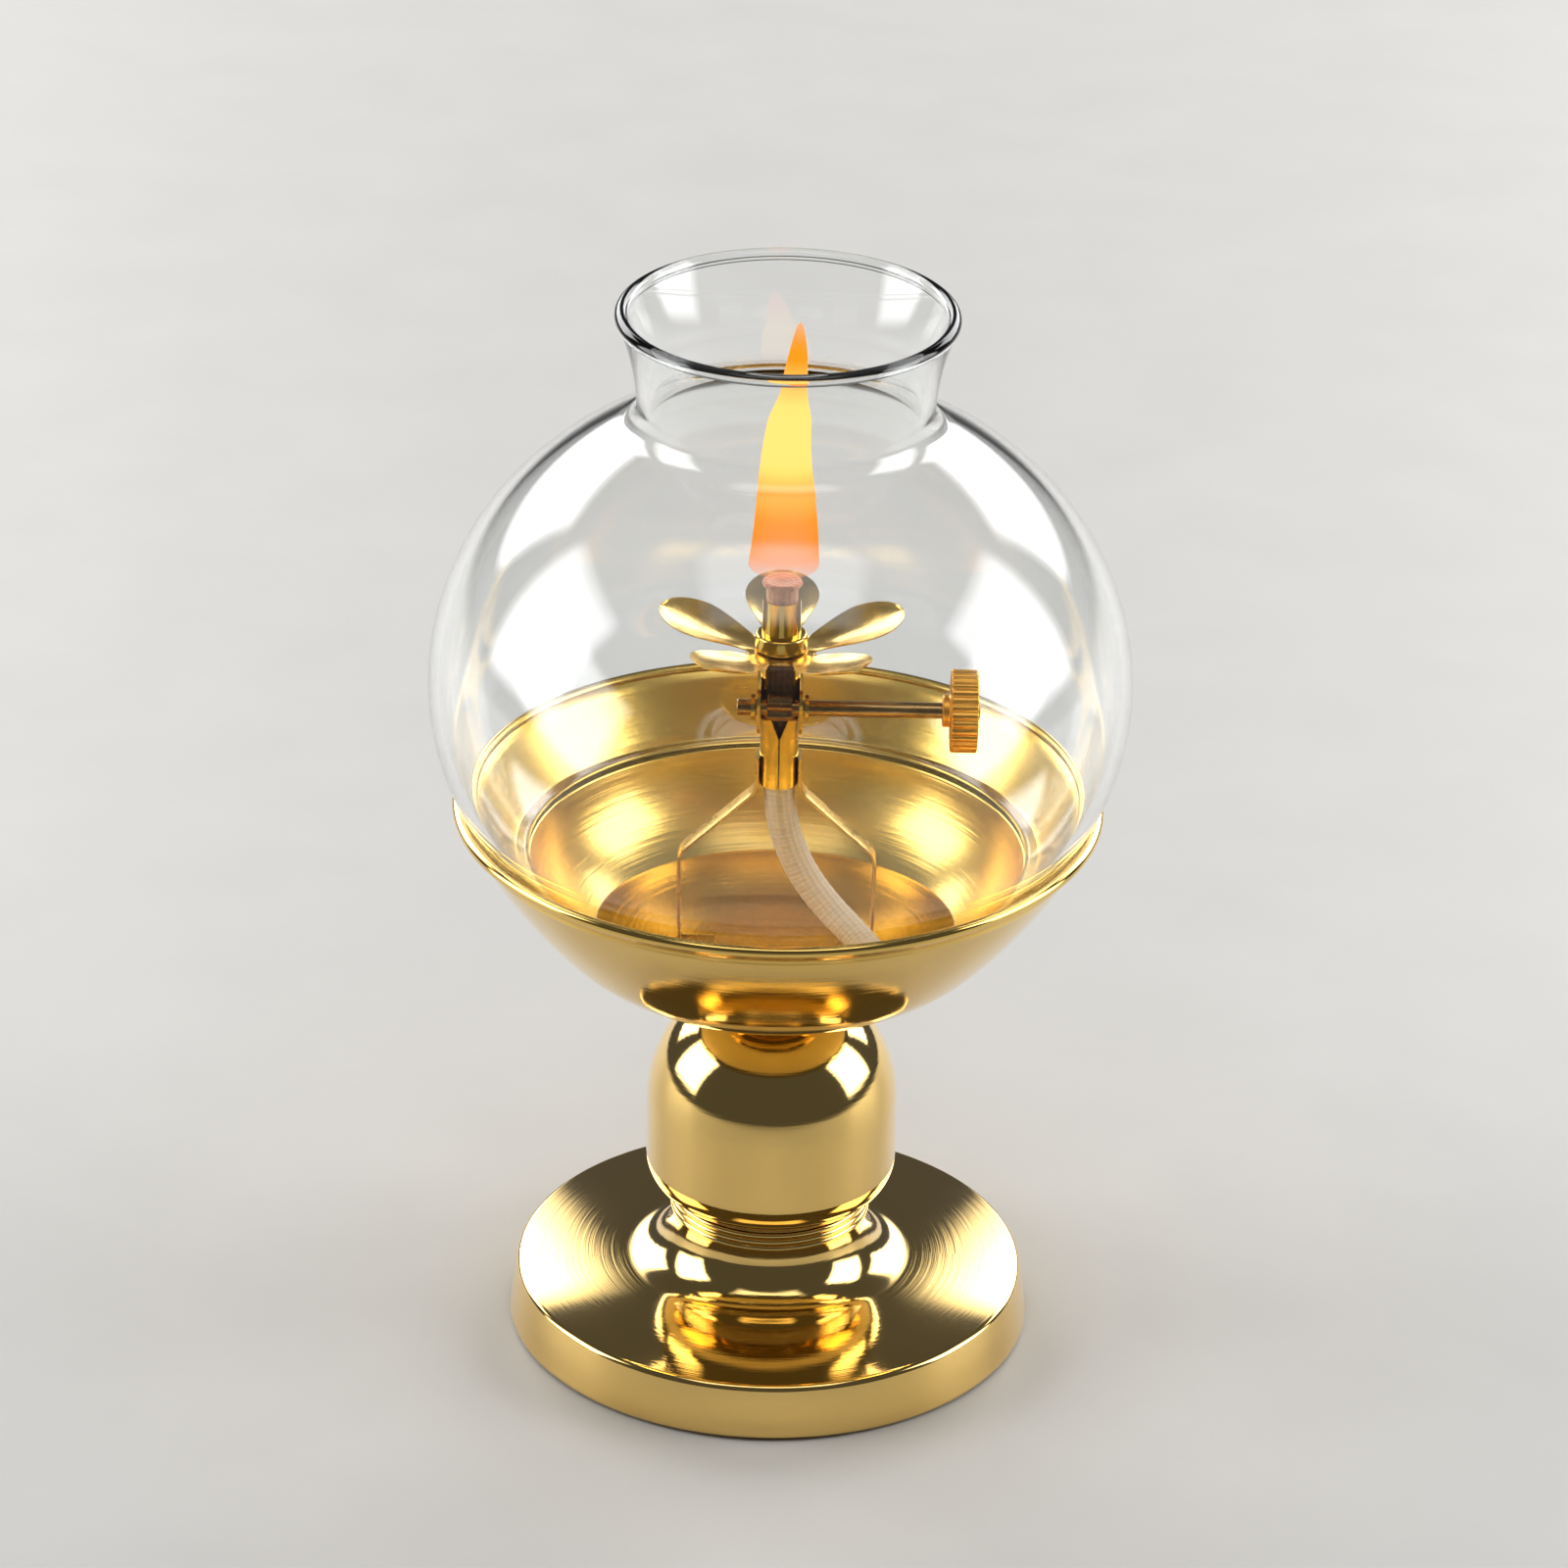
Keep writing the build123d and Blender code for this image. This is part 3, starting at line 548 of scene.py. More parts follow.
def clear(name, tint, shade, index, wave, wave_depth):
    """Glass or oil: lit from behind, it lets shadow and scattered light straight through, tinted."""
    finish = Finish(
        name, Base_Color=(*shade, 1.0), Roughness=0.0, IOR=index, Transmission_Weight=1.0
    )
    ripple = finish.noise(finish.place(), wave, 1.0)
    finish.feed(Normal=finish.bump(ripple, wave_depth))
    path = finish.node("ShaderNodeLightPath")
    through = Value(finish, path.outputs["Is Shadow Ray"]).math(
        "MAXIMUM", Value(finish, path.outputs["Is Diffuse Ray"])
    )
    gap = finish.node("ShaderNodeBsdfTransparent", {"Color": (*tint, 1.0)})
    blend = finish.node(
        "ShaderNodeMixShader", {0: through, 1: finish.shader.outputs[0], 2: gap.outputs[0]}
    )
    finish.connect(blend.outputs[0], finish.output.inputs["Surface"])
    return finish.material


def braided_cotton(name, shade, oil_and_shade_height=None):
    """Plaited cotton: two sets of yarns wind round opposite ways, with loose fibres over them.

    Up to a height, in millimetres, it is painted dark: partly the oil it holds, partly painted shade
    inside the tube.
    """
    finish = Finish(name, Roughness=0.85, Sheen_Weight=0.35, Subsurface_Weight=0.15)
    finish.shader.inputs["Subsurface Radius"].default_value = (0.0012, 0.0008, 0.0005)
    turn, travel = finish.uv()
    along = travel * (FULL_TURN * MM / PLAIT_PITCH)
    left = (turn * (YARNS * FULL_TURN) + along).sine()
    right = (turn * (YARNS * FULL_TURN) - along).sine()
    yarns = left * right
    fibres = finish.noise(finish.place(), 2600.0, 4.0, 0.7)
    patches = finish.noise(finish.place(), 420.0, 3.0)
    cotton_colour = finish.mix(yarns * 0.14 + patches * 0.6 + 0.6, darker(shade, 0.72), shade)
    # Painted shade: below the height the cotton is painted dark brown, partly for the oil it holds and
    # partly for the shade inside the wick tube.
    if oil_and_shade_height is not None:
        above_oil_and_shade = (finish.height() + patches * 1.2).above(oil_and_shade_height, 1.2)
        singed = finish.mix(patches * 1.6 + 0.5, (0.36, 0.14, 0.05), (0.66, 0.32, 0.14))
        cotton_colour = finish.mix(above_oil_and_shade, (0.13, 0.07, 0.035), singed)
    normal = finish.bump(yarns * 0.6 + fibres * 0.7, 0.12 * MM)
    return finish.feed(Base_Color=cotton_colour, Normal=normal).material


def flame_shell(name, body, base, low, high, strength):
    """Burning gas: it glows along its height and thins out towards the wick and at the tip.

    Where it is thin, its sides look fuller than its middle.
    """
    finish = Finish(name, Base_Color=(0, 0, 0, 1), Roughness=1.0, Emission_Strength=strength)
    finish.shader.inputs["Specular IOR Level"].default_value = 0.0
    share = (finish.height() - low / MM) / ((high - low) / MM)
    glow = finish.node(
        "ShaderNodeValToRGB", {0: share},
        stops=[(0.0, darker(base, 0.6)), (0.24, base), (0.46, body), (0.70, body), (0.86, base)],
    ).outputs[0]
    flicker = finish.noise(finish.place(), 160.0, 1.0)
    edge = Value(finish, finish.node("ShaderNodeLayerWeight", {"Blend": 0.4}).outputs["Facing"])
    full = (share + flicker * 0.06).above(0.30, 0.34)
    veil = full + (1.0 - full) * (edge * 0.35 + 0.62)
    ends = share.above(0.05, 0.09) * (1.0 - share.above(0.97, 0.20))
    finish.feed(Emission_Color=glow, Alpha=veil * ends)
    return finish.material


def rough_solid(name, shade, light, roughness, scale, depth, metallic=0.0, sheen=0.0):
    """A mottled, grained solid finish: felt, fibre, cast iron or zinc-plated steel."""
    finish = Finish(name, Metallic=metallic, Sheen_Weight=sheen)
    grain = finish.noise(finish.place(), scale, 5.0, 0.7)
    cloud = finish.noise(finish.place(), scale * 0.08, 2.0)
    tint = finish.mix(grain + cloud + 0.5, shade, light)
    normal = finish.bump(grain, depth)
    finish.feed(Base_Color=tint, Roughness=grain * 0.2 + roughness, Normal=normal)
    return finish.material


# ---- foot, stem and bowl ---------------------------------------------------------------------------
def foot_profile(s):
    """Up the outside of the foot from the floor to the neck, and back down inside the shell."""
    top = s.foot_band + s.foot_crown + s.foot_cove
    crown = (s.neck_radius + s.foot_cove, s.foot_band + s.foot_crown)
    shell = 1.5 * MM
    band_top = s.foot_radius - s.foot_taper
    bottom = rounded(
        [
            (s.foot_radius - shell, s.foot_bottom),
            (s.foot_radius, s.foot_bottom),
            (band_top, s.foot_band),
            crown,
        ],
        s.foot_edge,
    )
    cove = circle((crown[0], top), s.foot_cove, 270, 180, 18)
    web = 2.0 * MM
    inner = circle((crown[0], top), s.foot_cove + shell, 195, 270, 12)
    return joined(
        bottom, cove, (ROD_HOLE, top), (ROD_HOLE, top - web), (inner[0, 0], top - web), inner,
        (band_top - shell, s.foot_band - shell),
    )


def neck_profile(s):
    """The turned ring between foot and knob: three beads between plain fillets."""
    base = s.foot_band + s.foot_crown + s.foot_cove
    rise = box_of("stem_ring")[1][2] - base
    outline = [(ROD_HOLE, base), (s.neck_radius, base)]
    beads = 3
    for bead in range(beads):
        centre = (s.neck_radius, base + rise * (bead + 1) / (beads + 1))
        outline.append(circle(centre, s.neck_bead, -90, 90, 9))
    return joined(*outline, (s.neck_radius, base + rise), (ROD_HOLE, base + rise))


def knob_side(s, inset):
    """One face of the knob, from its seat up to its flat top, moved in by the inset."""
    low, high = box_of("stem_knob")
    edge = low[2] + s.knob_curl
    band_top = edge + s.knob_band
    shoulder = (s.knob_shoulder - inset, band_top + s.knob_shoulder_rise)
    radius = s.knob_radius - inset
    curl, _ = arc((radius, edge), (s.knob_seat - inset, low[2] + inset), -math.pi / 2, 16)
    swell, angle = arc((radius, band_top), shoulder, math.pi / 2, 16)
    dome, _ = arc(shoulder, (s.knob_top - inset / 2, high[2] - inset), angle, 24)
    return joined(curl[::-1], swell, dome)


def bowl_side(s, inset):
    """One face of the bowl, from its flat bottom out to the rim, moved in by the inset.

    Three arcs run on from each other; the inner face's arcs share the outer face's centres.
    """
    bottom = box_of("bowl_cup")[0][2]
    rim_rise = box_of("bowl_cup")[1][2] - s.bowl_bead - bottom
    corners = [
        (s.bowl_flat, 0.0),
        (s.bowl_dish, s.bowl_dish_rise),
        (s.bowl_shoulder, s.bowl_shoulder_rise),
        (s.bowl_rim, rim_rise),
    ]
    angle = 0.0
    parts = []
    for start, end in zip(corners, corners[1:]):
        points, after = arc(start, end, angle, 28)
        turn = np.linspace(angle, after, len(points))
        normal = np.stack([-np.sin(turn), np.cos(turn)], axis=1)
        parts.append(points + normal * inset)
        angle = after
    return joined(*parts) + np.array([0.0, bottom])


def well_side(s):
    """The oil well's face, from the flat bottom over the dish and up one arc to the ledge's edge."""
    bottom = box_of("bowl_cup")[0][2]
    angle = 2 * math.atan2(s.bowl_dish_rise, s.bowl_dish - s.bowl_flat)
    normal = np.array([-math.sin(angle), math.cos(angle)])
    dish = np.array([s.bowl_dish, bottom + s.bowl_dish_rise]) + s.bowl_wall * normal
    floor, _ = arc((s.bowl_flat, bottom + s.bowl_wall), dish, 0.0, 28)
    wall, _ = arc(dish, (s.ledge_radius, bottom + s.ledge_rise), angle, 48)
    return joined(floor, wall)


def bowl_profile(s):
    """Outside of the bowl, round the rolled rim, down the inside, over the ledge and down the well.

    The well's wall leaves the dish without a break and climbs as one arc to the ledge's edge.
    """
    outer = bowl_side(s, 0.0)
    inner = bowl_side(s, s.bowl_wall)[::-1]
    bottom = outer[0, 1]
    ledge = bottom + s.ledge_rise
    rim = (s.bowl_rim, box_of("bowl_cup")[1][2] - s.bowl_bead)
    bead = circle(rim, s.bowl_bead, -62, 208, 24)
    groove = outer[-1] + np.array([-1.55, -2.3]) * MM
    step = circle(groove, 0.35 * MM, -110, 20, 7)
    flank = inner[inner[:, 1] > ledge + 0.3 * MM]
    well = well_side(s)[::-1]
    corners = [flank[-1], (flank[-1, 0] - 0.2 * MM, ledge), (s.ledge_radius, ledge), well[4]]
    shelf = rounded(corners, 0.3 * MM)
    outer = outer[outer[:, 1] < step[0, 1]]
    return joined(
        (0.0, bottom), outer, step, bead, flank[flank[:, 1] < rim[1] - s.bowl_bead], shelf, well[5:],
        (0.0, bottom + s.bowl_wall),
    )


def oil_profile(s):
    """The oil's surface out to its meniscus, and its underside within the bowl's sheet."""
    wall = well_side(s) + np.array([0.3, -0.3]) * MM
    edge = np.interp(s.oil_level, wall[:, 1], wall[:, 0])
    creep = 1.6 * MM
    rise = 0.45 * MM
    share = np.linspace(0, 1, 14)[:, None]
    surface_part = np.concatenate(
        [edge - creep + creep * share, s.oil_level + rise * share**3], axis=1
    )
    under = wall[wall[:, 1] < s.oil_level + rise][::-1]
    middle = np.linspace((0.0, s.oil_level), (edge - creep, s.oil_level), 12)
    return joined(middle, surface_part, under, (0.0, under[-1, 1]))


# ---- globe -----------------------------------------------------------------------------------------
def globe_side(g, inset, middle, foot_angle):
    """One face of the glass from foot to lip: two half-ellipses, a hollow at the neck and a flare."""
    shoulder_angle = math.acos(g.shoulder / g.radius)
    wide = g.radius - inset
    low = np.linspace(-foot_angle, 0, 40)
    high = np.linspace(0, shoulder_angle, 44)
    lower = np.stack([wide * np.cos(low), middle + (g.lower - inset) * np.sin(low)], axis=1)
    upper = np.stack([wide * np.cos(high), middle + (g.upper - inset) * np.sin(high)], axis=1)
    step = upper[-1] - upper[-2]
    neck = (g.neck - inset, middle + g.neck_rise)
    lip = (g.lip + g.wall / 2 - inset, middle + g.lip_rise)
    hollow, angle = arc(upper[-1], neck, math.atan2(step[1], step[0]), 20)
    flare, _ = arc(neck, lip, angle, 20)
    return joined(lower, upper, hollow, flare)


# ---- burner shapes ---------------------------------------------------------------------------------
def smooth_step(share):
    """Three times the square less twice the cube, of a share held between nought and one."""
    share = np.clip(share, 0, 1)
    return share * share * (3 - 2 * share)


def rolled_tube(b, outer, inner):
    """The rolled tube on a grid of heights by angles, with its front seam and window left open.

    At each height the section runs round the outer face from one side of the gap to the other, and
    back round the inner face.  The half angle of the gap is the arc sine of its half width over the
    radius.  Rows at the middle of the wall close the ends.
    """
    low, high = box_of("wick_tube")
    seam, window = b.seam, b.window
    point, corner, top = low[2] + np.array([b.window_point, b.window_corner, b.window_top])
    half = [
        (low[2], seam, 0), (low[2], seam, 1), (point, seam, 1), (corner, window, 1), (top, window, 1),
        (top, window, 0), (top, 0.0, 0), (top, 0.0, 1), (high[2], 0.0, 1), (high[2], 0.0, 0),
    ]
    height, width, full = (np.array(column)[:, None] for column in zip(*half))
    gap = np.arcsin(width / outer)
    steps = 56
    share = np.linspace(0, 1, steps)[None, :]
    share = np.concatenate([share, share[:, ::-1]], axis=1)
    wall = np.repeat([[0.5, -0.5]], steps, axis=1) * (outer - inner)
    radius = (outer + inner) / 2 + wall * full
    angle = -math.pi / 2 + gap + (FULL_TURN - 2 * gap) * share
    height = height + 0 * angle
    return np.stack([radius * np.cos(angle), radius * np.sin(angle), height], axis=2)


def petal_grid(b, azimuth, rise, reach, width):
    """A spoon on a grid of length by girth: top face across, then underside back.

    Its half width swells from the neck by a smooth step and closes much as a quarter ellipse at the
    tip, where the rows lie closer.  Its edges turn up with the square of the distance from its
    middle line, its faces meet in thin edges, and its middle line climbs with a power of the length.
    """
    bottom = box_of("flower_petals")[0][2]
    tip_start, widest, cupped = 0.62, 0.66, 0.35
    fine = np.sin(np.linspace(1.12, math.pi / 2, 12))
    share = np.concatenate([np.linspace(0, 0.9, 34), fine])[:, None]
    tip = np.clip((share - tip_start) / (1 - tip_start), 0, 1)
    half = b.petal_neck + (width - b.petal_neck) * smooth_step(share / widest)
    half = half * np.sqrt(np.maximum(0.0, 1 - tip**2.2))
    columns = 19
    girth = np.linspace(-1, 1, columns)
    across = np.concatenate([girth, girth[::-1]])[None, :]
    face = np.repeat([[0.5, -0.5]], columns, axis=1) * np.sqrt(1 - 0.72 * across**8)
    dip = smooth_step(share / cupped) * (1 - 0.55 * tip)
    start = b.tube_radius + 0.3 * MM
    along = start + (reach - start) * share + 0 * across
    sideways = half * across
    lift = rise * share**1.25 + b.petal_cup * (across**2 - 0.5) * dip
    up = bottom + b.petal_thickness * (0.5 + face) + lift
    grid = np.stack(
        [
            along * math.cos(azimuth) - sideways * math.sin(azimuth),
            along * math.sin(azimuth) + sideways * math.cos(azimuth),
            up,
        ],
        axis=2,
    )
    root = np.broadcast_to(grid[0].mean(axis=0), grid[:1].shape)
    return np.concatenate([root, grid, np.broadcast_to(grid[-1].mean(axis=0), grid[:1].shape)])


def on_shaft(points):
    """Turn points about the vertical axis onto the wick raiser's shaft: height becomes +X."""
    low, high = box_of("wick_shaft")
    axis = (low + high) / 2
    return points[..., [2, 0, 1]] + np.array([0.0, axis[1], axis[2]])


def leg_path(b, side):
    """Down the tube, out to the knee, straight down and in along the sole."""
    low, high = box_of("right_leg")
    tab = b.tube_radius + b.leg_thickness / 2
    tube_end = box_of("wick_tube")[0][2]
    sole = low[2] + b.leg_thickness / 2
    corners = [
        (side * tab, 0, high[2]),
        (side * tab, 0, tube_end - b.leg_drop),
        (side * b.leg_reach, 0, tube_end - b.leg_knee),
        (side * b.leg_reach, 0, sole),
        (side * (b.leg_reach - b.leg_foot), 0, sole),
    ]
    return rounded(corners, b.leg_bend, steps=9)


# ---- operators -------------------------------------------------------------------------------------
class LAMP_OT_camera(bpy.types.Operator):
    """Add the camera, above and in front of the lamp and turned a little about its own axis"""

    bl_idname = "lamp.camera"
    bl_label = "Camera"
    bl_options = {"REGISTER", "UNDO"}

    def execute(self, context):
        data = bpy.data.cameras.new("camera")
        data.sensor_width = 36.0
        data.lens = 145.3
        stand_at = (0.0, -0.8396, 0.5088)
        camera = bpy.data.objects.new("camera", data)
        context.scene.collection.objects.link(camera)
        pitch, yaw, roll = 0.463, -0.001, 0.0214
        turn = Matrix.Rotation(yaw, 4, "Z") @ Matrix.Rotation(math.pi / 2 - pitch, 4, "X")
        turn = turn @ Matrix.Rotation(roll, 4, "Z")
        camera.matrix_world = Matrix.Translation(stand_at) @ turn
        context.scene.camera = camera
        return {"FINISHED"}


class LAMP_OT_wick_tail(bpy.types.Operator):
    """Add the wick's loose tail, which hangs from the tube and lies in the oil"""

    bl_idname = "lamp.wick_tail"
    bl_label = "Wick tail"
    bl_options = {"REGISTER", "UNDO"}

    ROUTE = [
        (0.0, 0.0, 0.0940),
        (0.0, 0.0, 0.0874),
        (0.0013, -0.0004, 0.0809),
        (0.0039, -0.0014, 0.0752),
        (0.0076, -0.0033, 0.0707),
        (0.0117, -0.0062, 0.0675),
        (0.0152, -0.0105, 0.0651),
        (0.0176, -0.0156, 0.0640),
    ]

    def route(self, context):
        """Points on the NURBS line that has the route's points as its control points."""
        curve = bpy.data.curves.new("wick_tail_route", "CURVE")
        curve.dimensions = "3D"
        curve.resolution_u = 12
        spline = curve.splines.new("NURBS")
        spline.points.add(len(self.ROUTE) - 1)
        for point, place in zip(spline.points, self.ROUTE):
            point.co = (*place, 1.0)
        spline.order_u = 3
        spline.use_endpoint_u = True
        line = bpy.data.objects.new("wick_tail_route", curve)
        context.scene.collection.objects.link(line)
        mesh = bpy.data.meshes.new_from_object(line)
        path = np.zeros(3 * len(mesh.vertices), np.float32)
        mesh.vertices.foreach_get("co", path)
        bpy.data.objects.remove(line)
        bpy.data.curves.remove(curve)
        bpy.data.meshes.remove(mesh)
        return path.reshape(-1, 3).astype(float)

    def execute(self, context):
        radius = burner().wick_radius
        path = self.route(context)
        span = float(np.linalg.norm(np.diff(path, axis=0), axis=1).sum())
        rows = np.linspace(0, len(path) - 1, 260)
        path = np.stack([np.interp(rows, np.arange(len(path)), line) for line in path.T], axis=1)
        turn = np.arange(64) * FULL_TURN / 64
        section = radius * np.stack([np.cos(turn), np.sin(turn)], axis=1)
        travel = np.linspace(0, span, len(path))
        swell = 1 - PLAIT_RELIEF * (1 + np.sin(travel * FULL_TURN / PLAIT_PITCH))
        fray = np.clip((travel - span + 0.5 * MM) / (0.5 * MM), 0, 1)
        swell = swell * np.sqrt(1 - 0.5 * fray**2)
        scale = np.stack([swell, swell], axis=1)
        tail = carried("wick_tail_braid", section, path, (0, 1, 0), scale, sharp=60)
        cotton = braided_cotton("cotton_tail", colours().cotton)
        place(tail, cotton, None, "cotton", "wick_tail")
        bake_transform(tail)
        return {"FINISHED"}


class LAMP_OT_foot(bpy.types.Operator):
    """Add the polished foot, the turned neck ring, the knob and the flange under the bowl"""

    bl_idname = "lamp.foot"
    bl_label = "Foot and stem"
    bl_options = {"REGISTER", "UNDO"}

    def execute(self, context):
        s = stand()
        gold = turned_brass("polished_brass", colours().gold, 0.055, 0.014 * MM)
        place(turned("foot", foot_profile(s)), gold, "stand", "polished_brass", "base_foot")
        place(turned("neck_ring", neck_profile(s)), gold, "stand", "polished_brass", "stem_ring")
        hollow = joined(knob_side(s, 0.0), knob_side(s, 1.6 * MM)[::-1])
        place(turned("knob", hollow), gold, "stand", "polished_brass", "stem_knob")
        low, high = box_of("bowl_boss")
        flange = low[2] + 9.0 * MM
        bore, spigot, blind = 3.1 * MM, 6.4 * MM, high[2] - 1.4 * MM
        outline = [
            (bore, blind), (bore, low[2]), (spigot, low[2]), (spigot, flange), (high[0], flange),
            (high[0], high[2]), (0.0, high[2]),
        ]
        boss = joined((0.0, blind), rounded(outline, 0.3 * MM))
        piece = turned("bowl_flange", boss, closed=False)
        place(piece, gold, "stand", "polished_brass", "bowl_boss")
        return {"FINISHED"}


class LAMP_OT_bowl(bpy.types.Operator):
    """Add the spun oil bowl, satin inside and polished outside"""

    bl_idname = "lamp.bowl"
    bl_label = "Bowl"
    bl_options = {"REGISTER", "UNDO"}

    def execute(self, context):
        profile = bowl_profile(stand())
        steps = np.linalg.norm(np.diff(profile, axis=0), axis=1)
        rim_at = np.concatenate([[0.0], np.cumsum(steps)])[np.argmax(profile[:, 1])]
        brass = turned_brass(
            "spun_brass", colours().spun, 0.07, 0.018 * MM, satin=0.25, satin_from=rim_at / MM
        )
        bowl = turned("bowl", profile, segments=256, closed=False)
        place(bowl, brass, "stand", "spun_brass", "bowl_cup")
        return {"FINISHED"}


class LAMP_OT_oil(bpy.types.Operator):
    """Add the pool of lamp oil in the bowl"""

    bl_idname = "lamp.oil"
    bl_label = "Oil"
    bl_options = {"REGISTER", "UNDO"}

    def execute(self, context):
        oil = colours().oil
        amber = clear("lamp_oil", darker(oil, 0.95), oil, 1.44, 90.0, 0.012 * MM)
        pool = turned("oil_pool", oil_profile(stand()), closed=False)
        place(pool, amber, "stand", "oil", "lamp_oil")
        return {"FINISHED"}


class LAMP_OT_fasteners(bpy.types.Operator):
    """Finish the plain pieces inside the foot and on the shaft, which keep their own shapes"""

    bl_idname = "lamp.fasteners"
    bl_label = "Fasteners and felt"
    bl_options = {"REGISTER", "UNDO"}

    def execute(self, context):
        c = colours()
        steel = rough_solid("steel", (0.40, 0.40, 0.42), (0.62, 0.62, 0.64), 0.32, 900, 0.01 * MM, 1.0)
        fibre = rough_solid("fibre", (0.05, 0.03, 0.02), (0.12, 0.07, 0.05), 0.7, 1500, 0.02 * MM)
        iron = rough_solid("iron", (0.03, 0.03, 0.03), (0.10, 0.10, 0.10), 0.75, 700, 0.08 * MM, 0.6)
        wool = rough_solid("felt", darker(c.felt, 0.6), c.felt, 0.95, 2400, 0.15 * MM, sheen=0.6)
        strip = sheet_brass("bracket_brass", c.sheet, 0.2)
        finishes = {
            "tie_rod": steel, "tie_nut": steel, "lock_washer": steel, "tie_washer": steel,
            "shaft_clips": strip, "stem_washer": fibre, "base_weight": iron, "base_pad": wool,
            "shaft_bracket": strip,
        }
        for node, material in finishes.items():
            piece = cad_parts[node]
            piece.data.materials.clear()
            piece.data.materials.append(material)
        return {"FINISHED"}


class LAMP_OT_globe(bpy.types.Operator):
    """Add the clear glass globe, with fire-rounded foot and lip"""

    bl_idname = "lamp.globe"
    bl_label = "Globe"
    bl_options = {"REGISTER", "UNDO"}

    def execute(self, context):
        g = globe()
        foot = box_of("globe_lower")[0][2] + g.foot_bead
        middle = box_of("globe_neck")[1][2] - g.lip_bead - g.lip_rise
        foot_angle = math.asin((middle - foot) / (g.lower - g.wall / 2))
        outer = globe_side(g, 0.0, middle, foot_angle)
        inner = globe_side(g, g.wall, middle, foot_angle)[::-1]
        lip = circle((g.lip, middle + g.lip_rise), g.lip_bead, -35, 215, 22)
        centre = (outer[0] + inner[-1]) / 2
        lean = math.degrees(math.atan2(*(inner[-1] - centre)[::-1]))
        rim = circle(centre, g.foot_bead, lean + 20, lean + 160, 14)
        glass = clear("clear_glass", (0.97, 0.98, 0.98), (0.99, 1.0, 1.0), 1.47, 26.0, 0.02 * MM)
        shell = turned("globe", joined(outer, lip, inner, rim), segments=256)
        bands = ("globe_lower", "globe_belly", "globe_shoulder", "globe_neck")
        place(shell, glass, "globe", "clear_glass", *bands)
        return {"FINISHED"}


class LAMP_OT_tube_and_legs(bpy.types.Operator):
    """Add the rolled wick tube, its collar and its two strip legs"""

    bl_idname = "lamp.tube_and_legs"
    bl_label = "Tube, collar and legs"
    bl_options = {"REGISTER", "UNDO"}

    def execute(self, context):
        b = burner()
        brass = sheet_brass("sheet_brass", colours().sheet, 0.16)
        grid = rolled_tube(b, b.tube_radius, b.tube_radius - b.tube_wall)
        tube = surface("rolled_tube", grid)
        place(tube, brass, "burner", "burner_brass", "wick_tube")
        low, high = box_of("flower_collar")
        corners = [
            (b.tube_radius, low[2]), (b.collar_radius, low[2]), (b.collar_radius, high[2]),
            (b.tube_radius, high[2]),
        ]
        collar = turned("tube_collar", rounded(corners, 0.4 * MM), segments=96)
        place(collar, brass, "burner", "burner_brass", "flower_collar")
        satin = sheet_brass("strip_brass", colours().strip, 0.28)
        section = stadium(b.leg_width, b.leg_thickness)
        for name, node, side in (("leg_left", "left_leg", -1), ("leg_right", "right_leg", 1)):
            leg = carried(name, section, leg_path(b, side), (0, 1, 0))
            place(leg, satin, "burner", "burner_brass", node)
        return {"FINISHED"}


class LAMP_OT_petals(bpy.types.Operator):
    """Add the five spoon petals and the plate that joins them"""

    bl_idname = "lamp.petals"
    bl_label = "Petals"
    bl_options = {"REGISTER", "UNDO"}

    def execute(self, context):
        b = burner()
        gold = sheet_brass("petal_brass", darker(colours().gold, 0.9), 0.22)
        bottom = box_of("flower_petals")[0][2]
        plate = [
            (b.tube_radius, bottom), (b.plate_radius, bottom),
            (b.plate_radius, bottom + b.petal_thickness), (b.tube_radius, bottom + b.petal_thickness),
        ]
        disc = turned("petal_plate", rounded(plate, 0.2 * MM), segments=96)
        place(disc, gold, "burner", "petal_brass", "flower_petals")
        for number in range(5):
            azimuth = math.radians(90 + 72 * number)
            grid = petal_grid(b, azimuth, b.petal_rise, b.petal_reach, b.petal_width)
            petal = surface(f"petal_{number + 1}", grid, sharp=60)
            place(petal, gold, "burner", "petal_brass", "flower_petals")
        return {"FINISHED"}


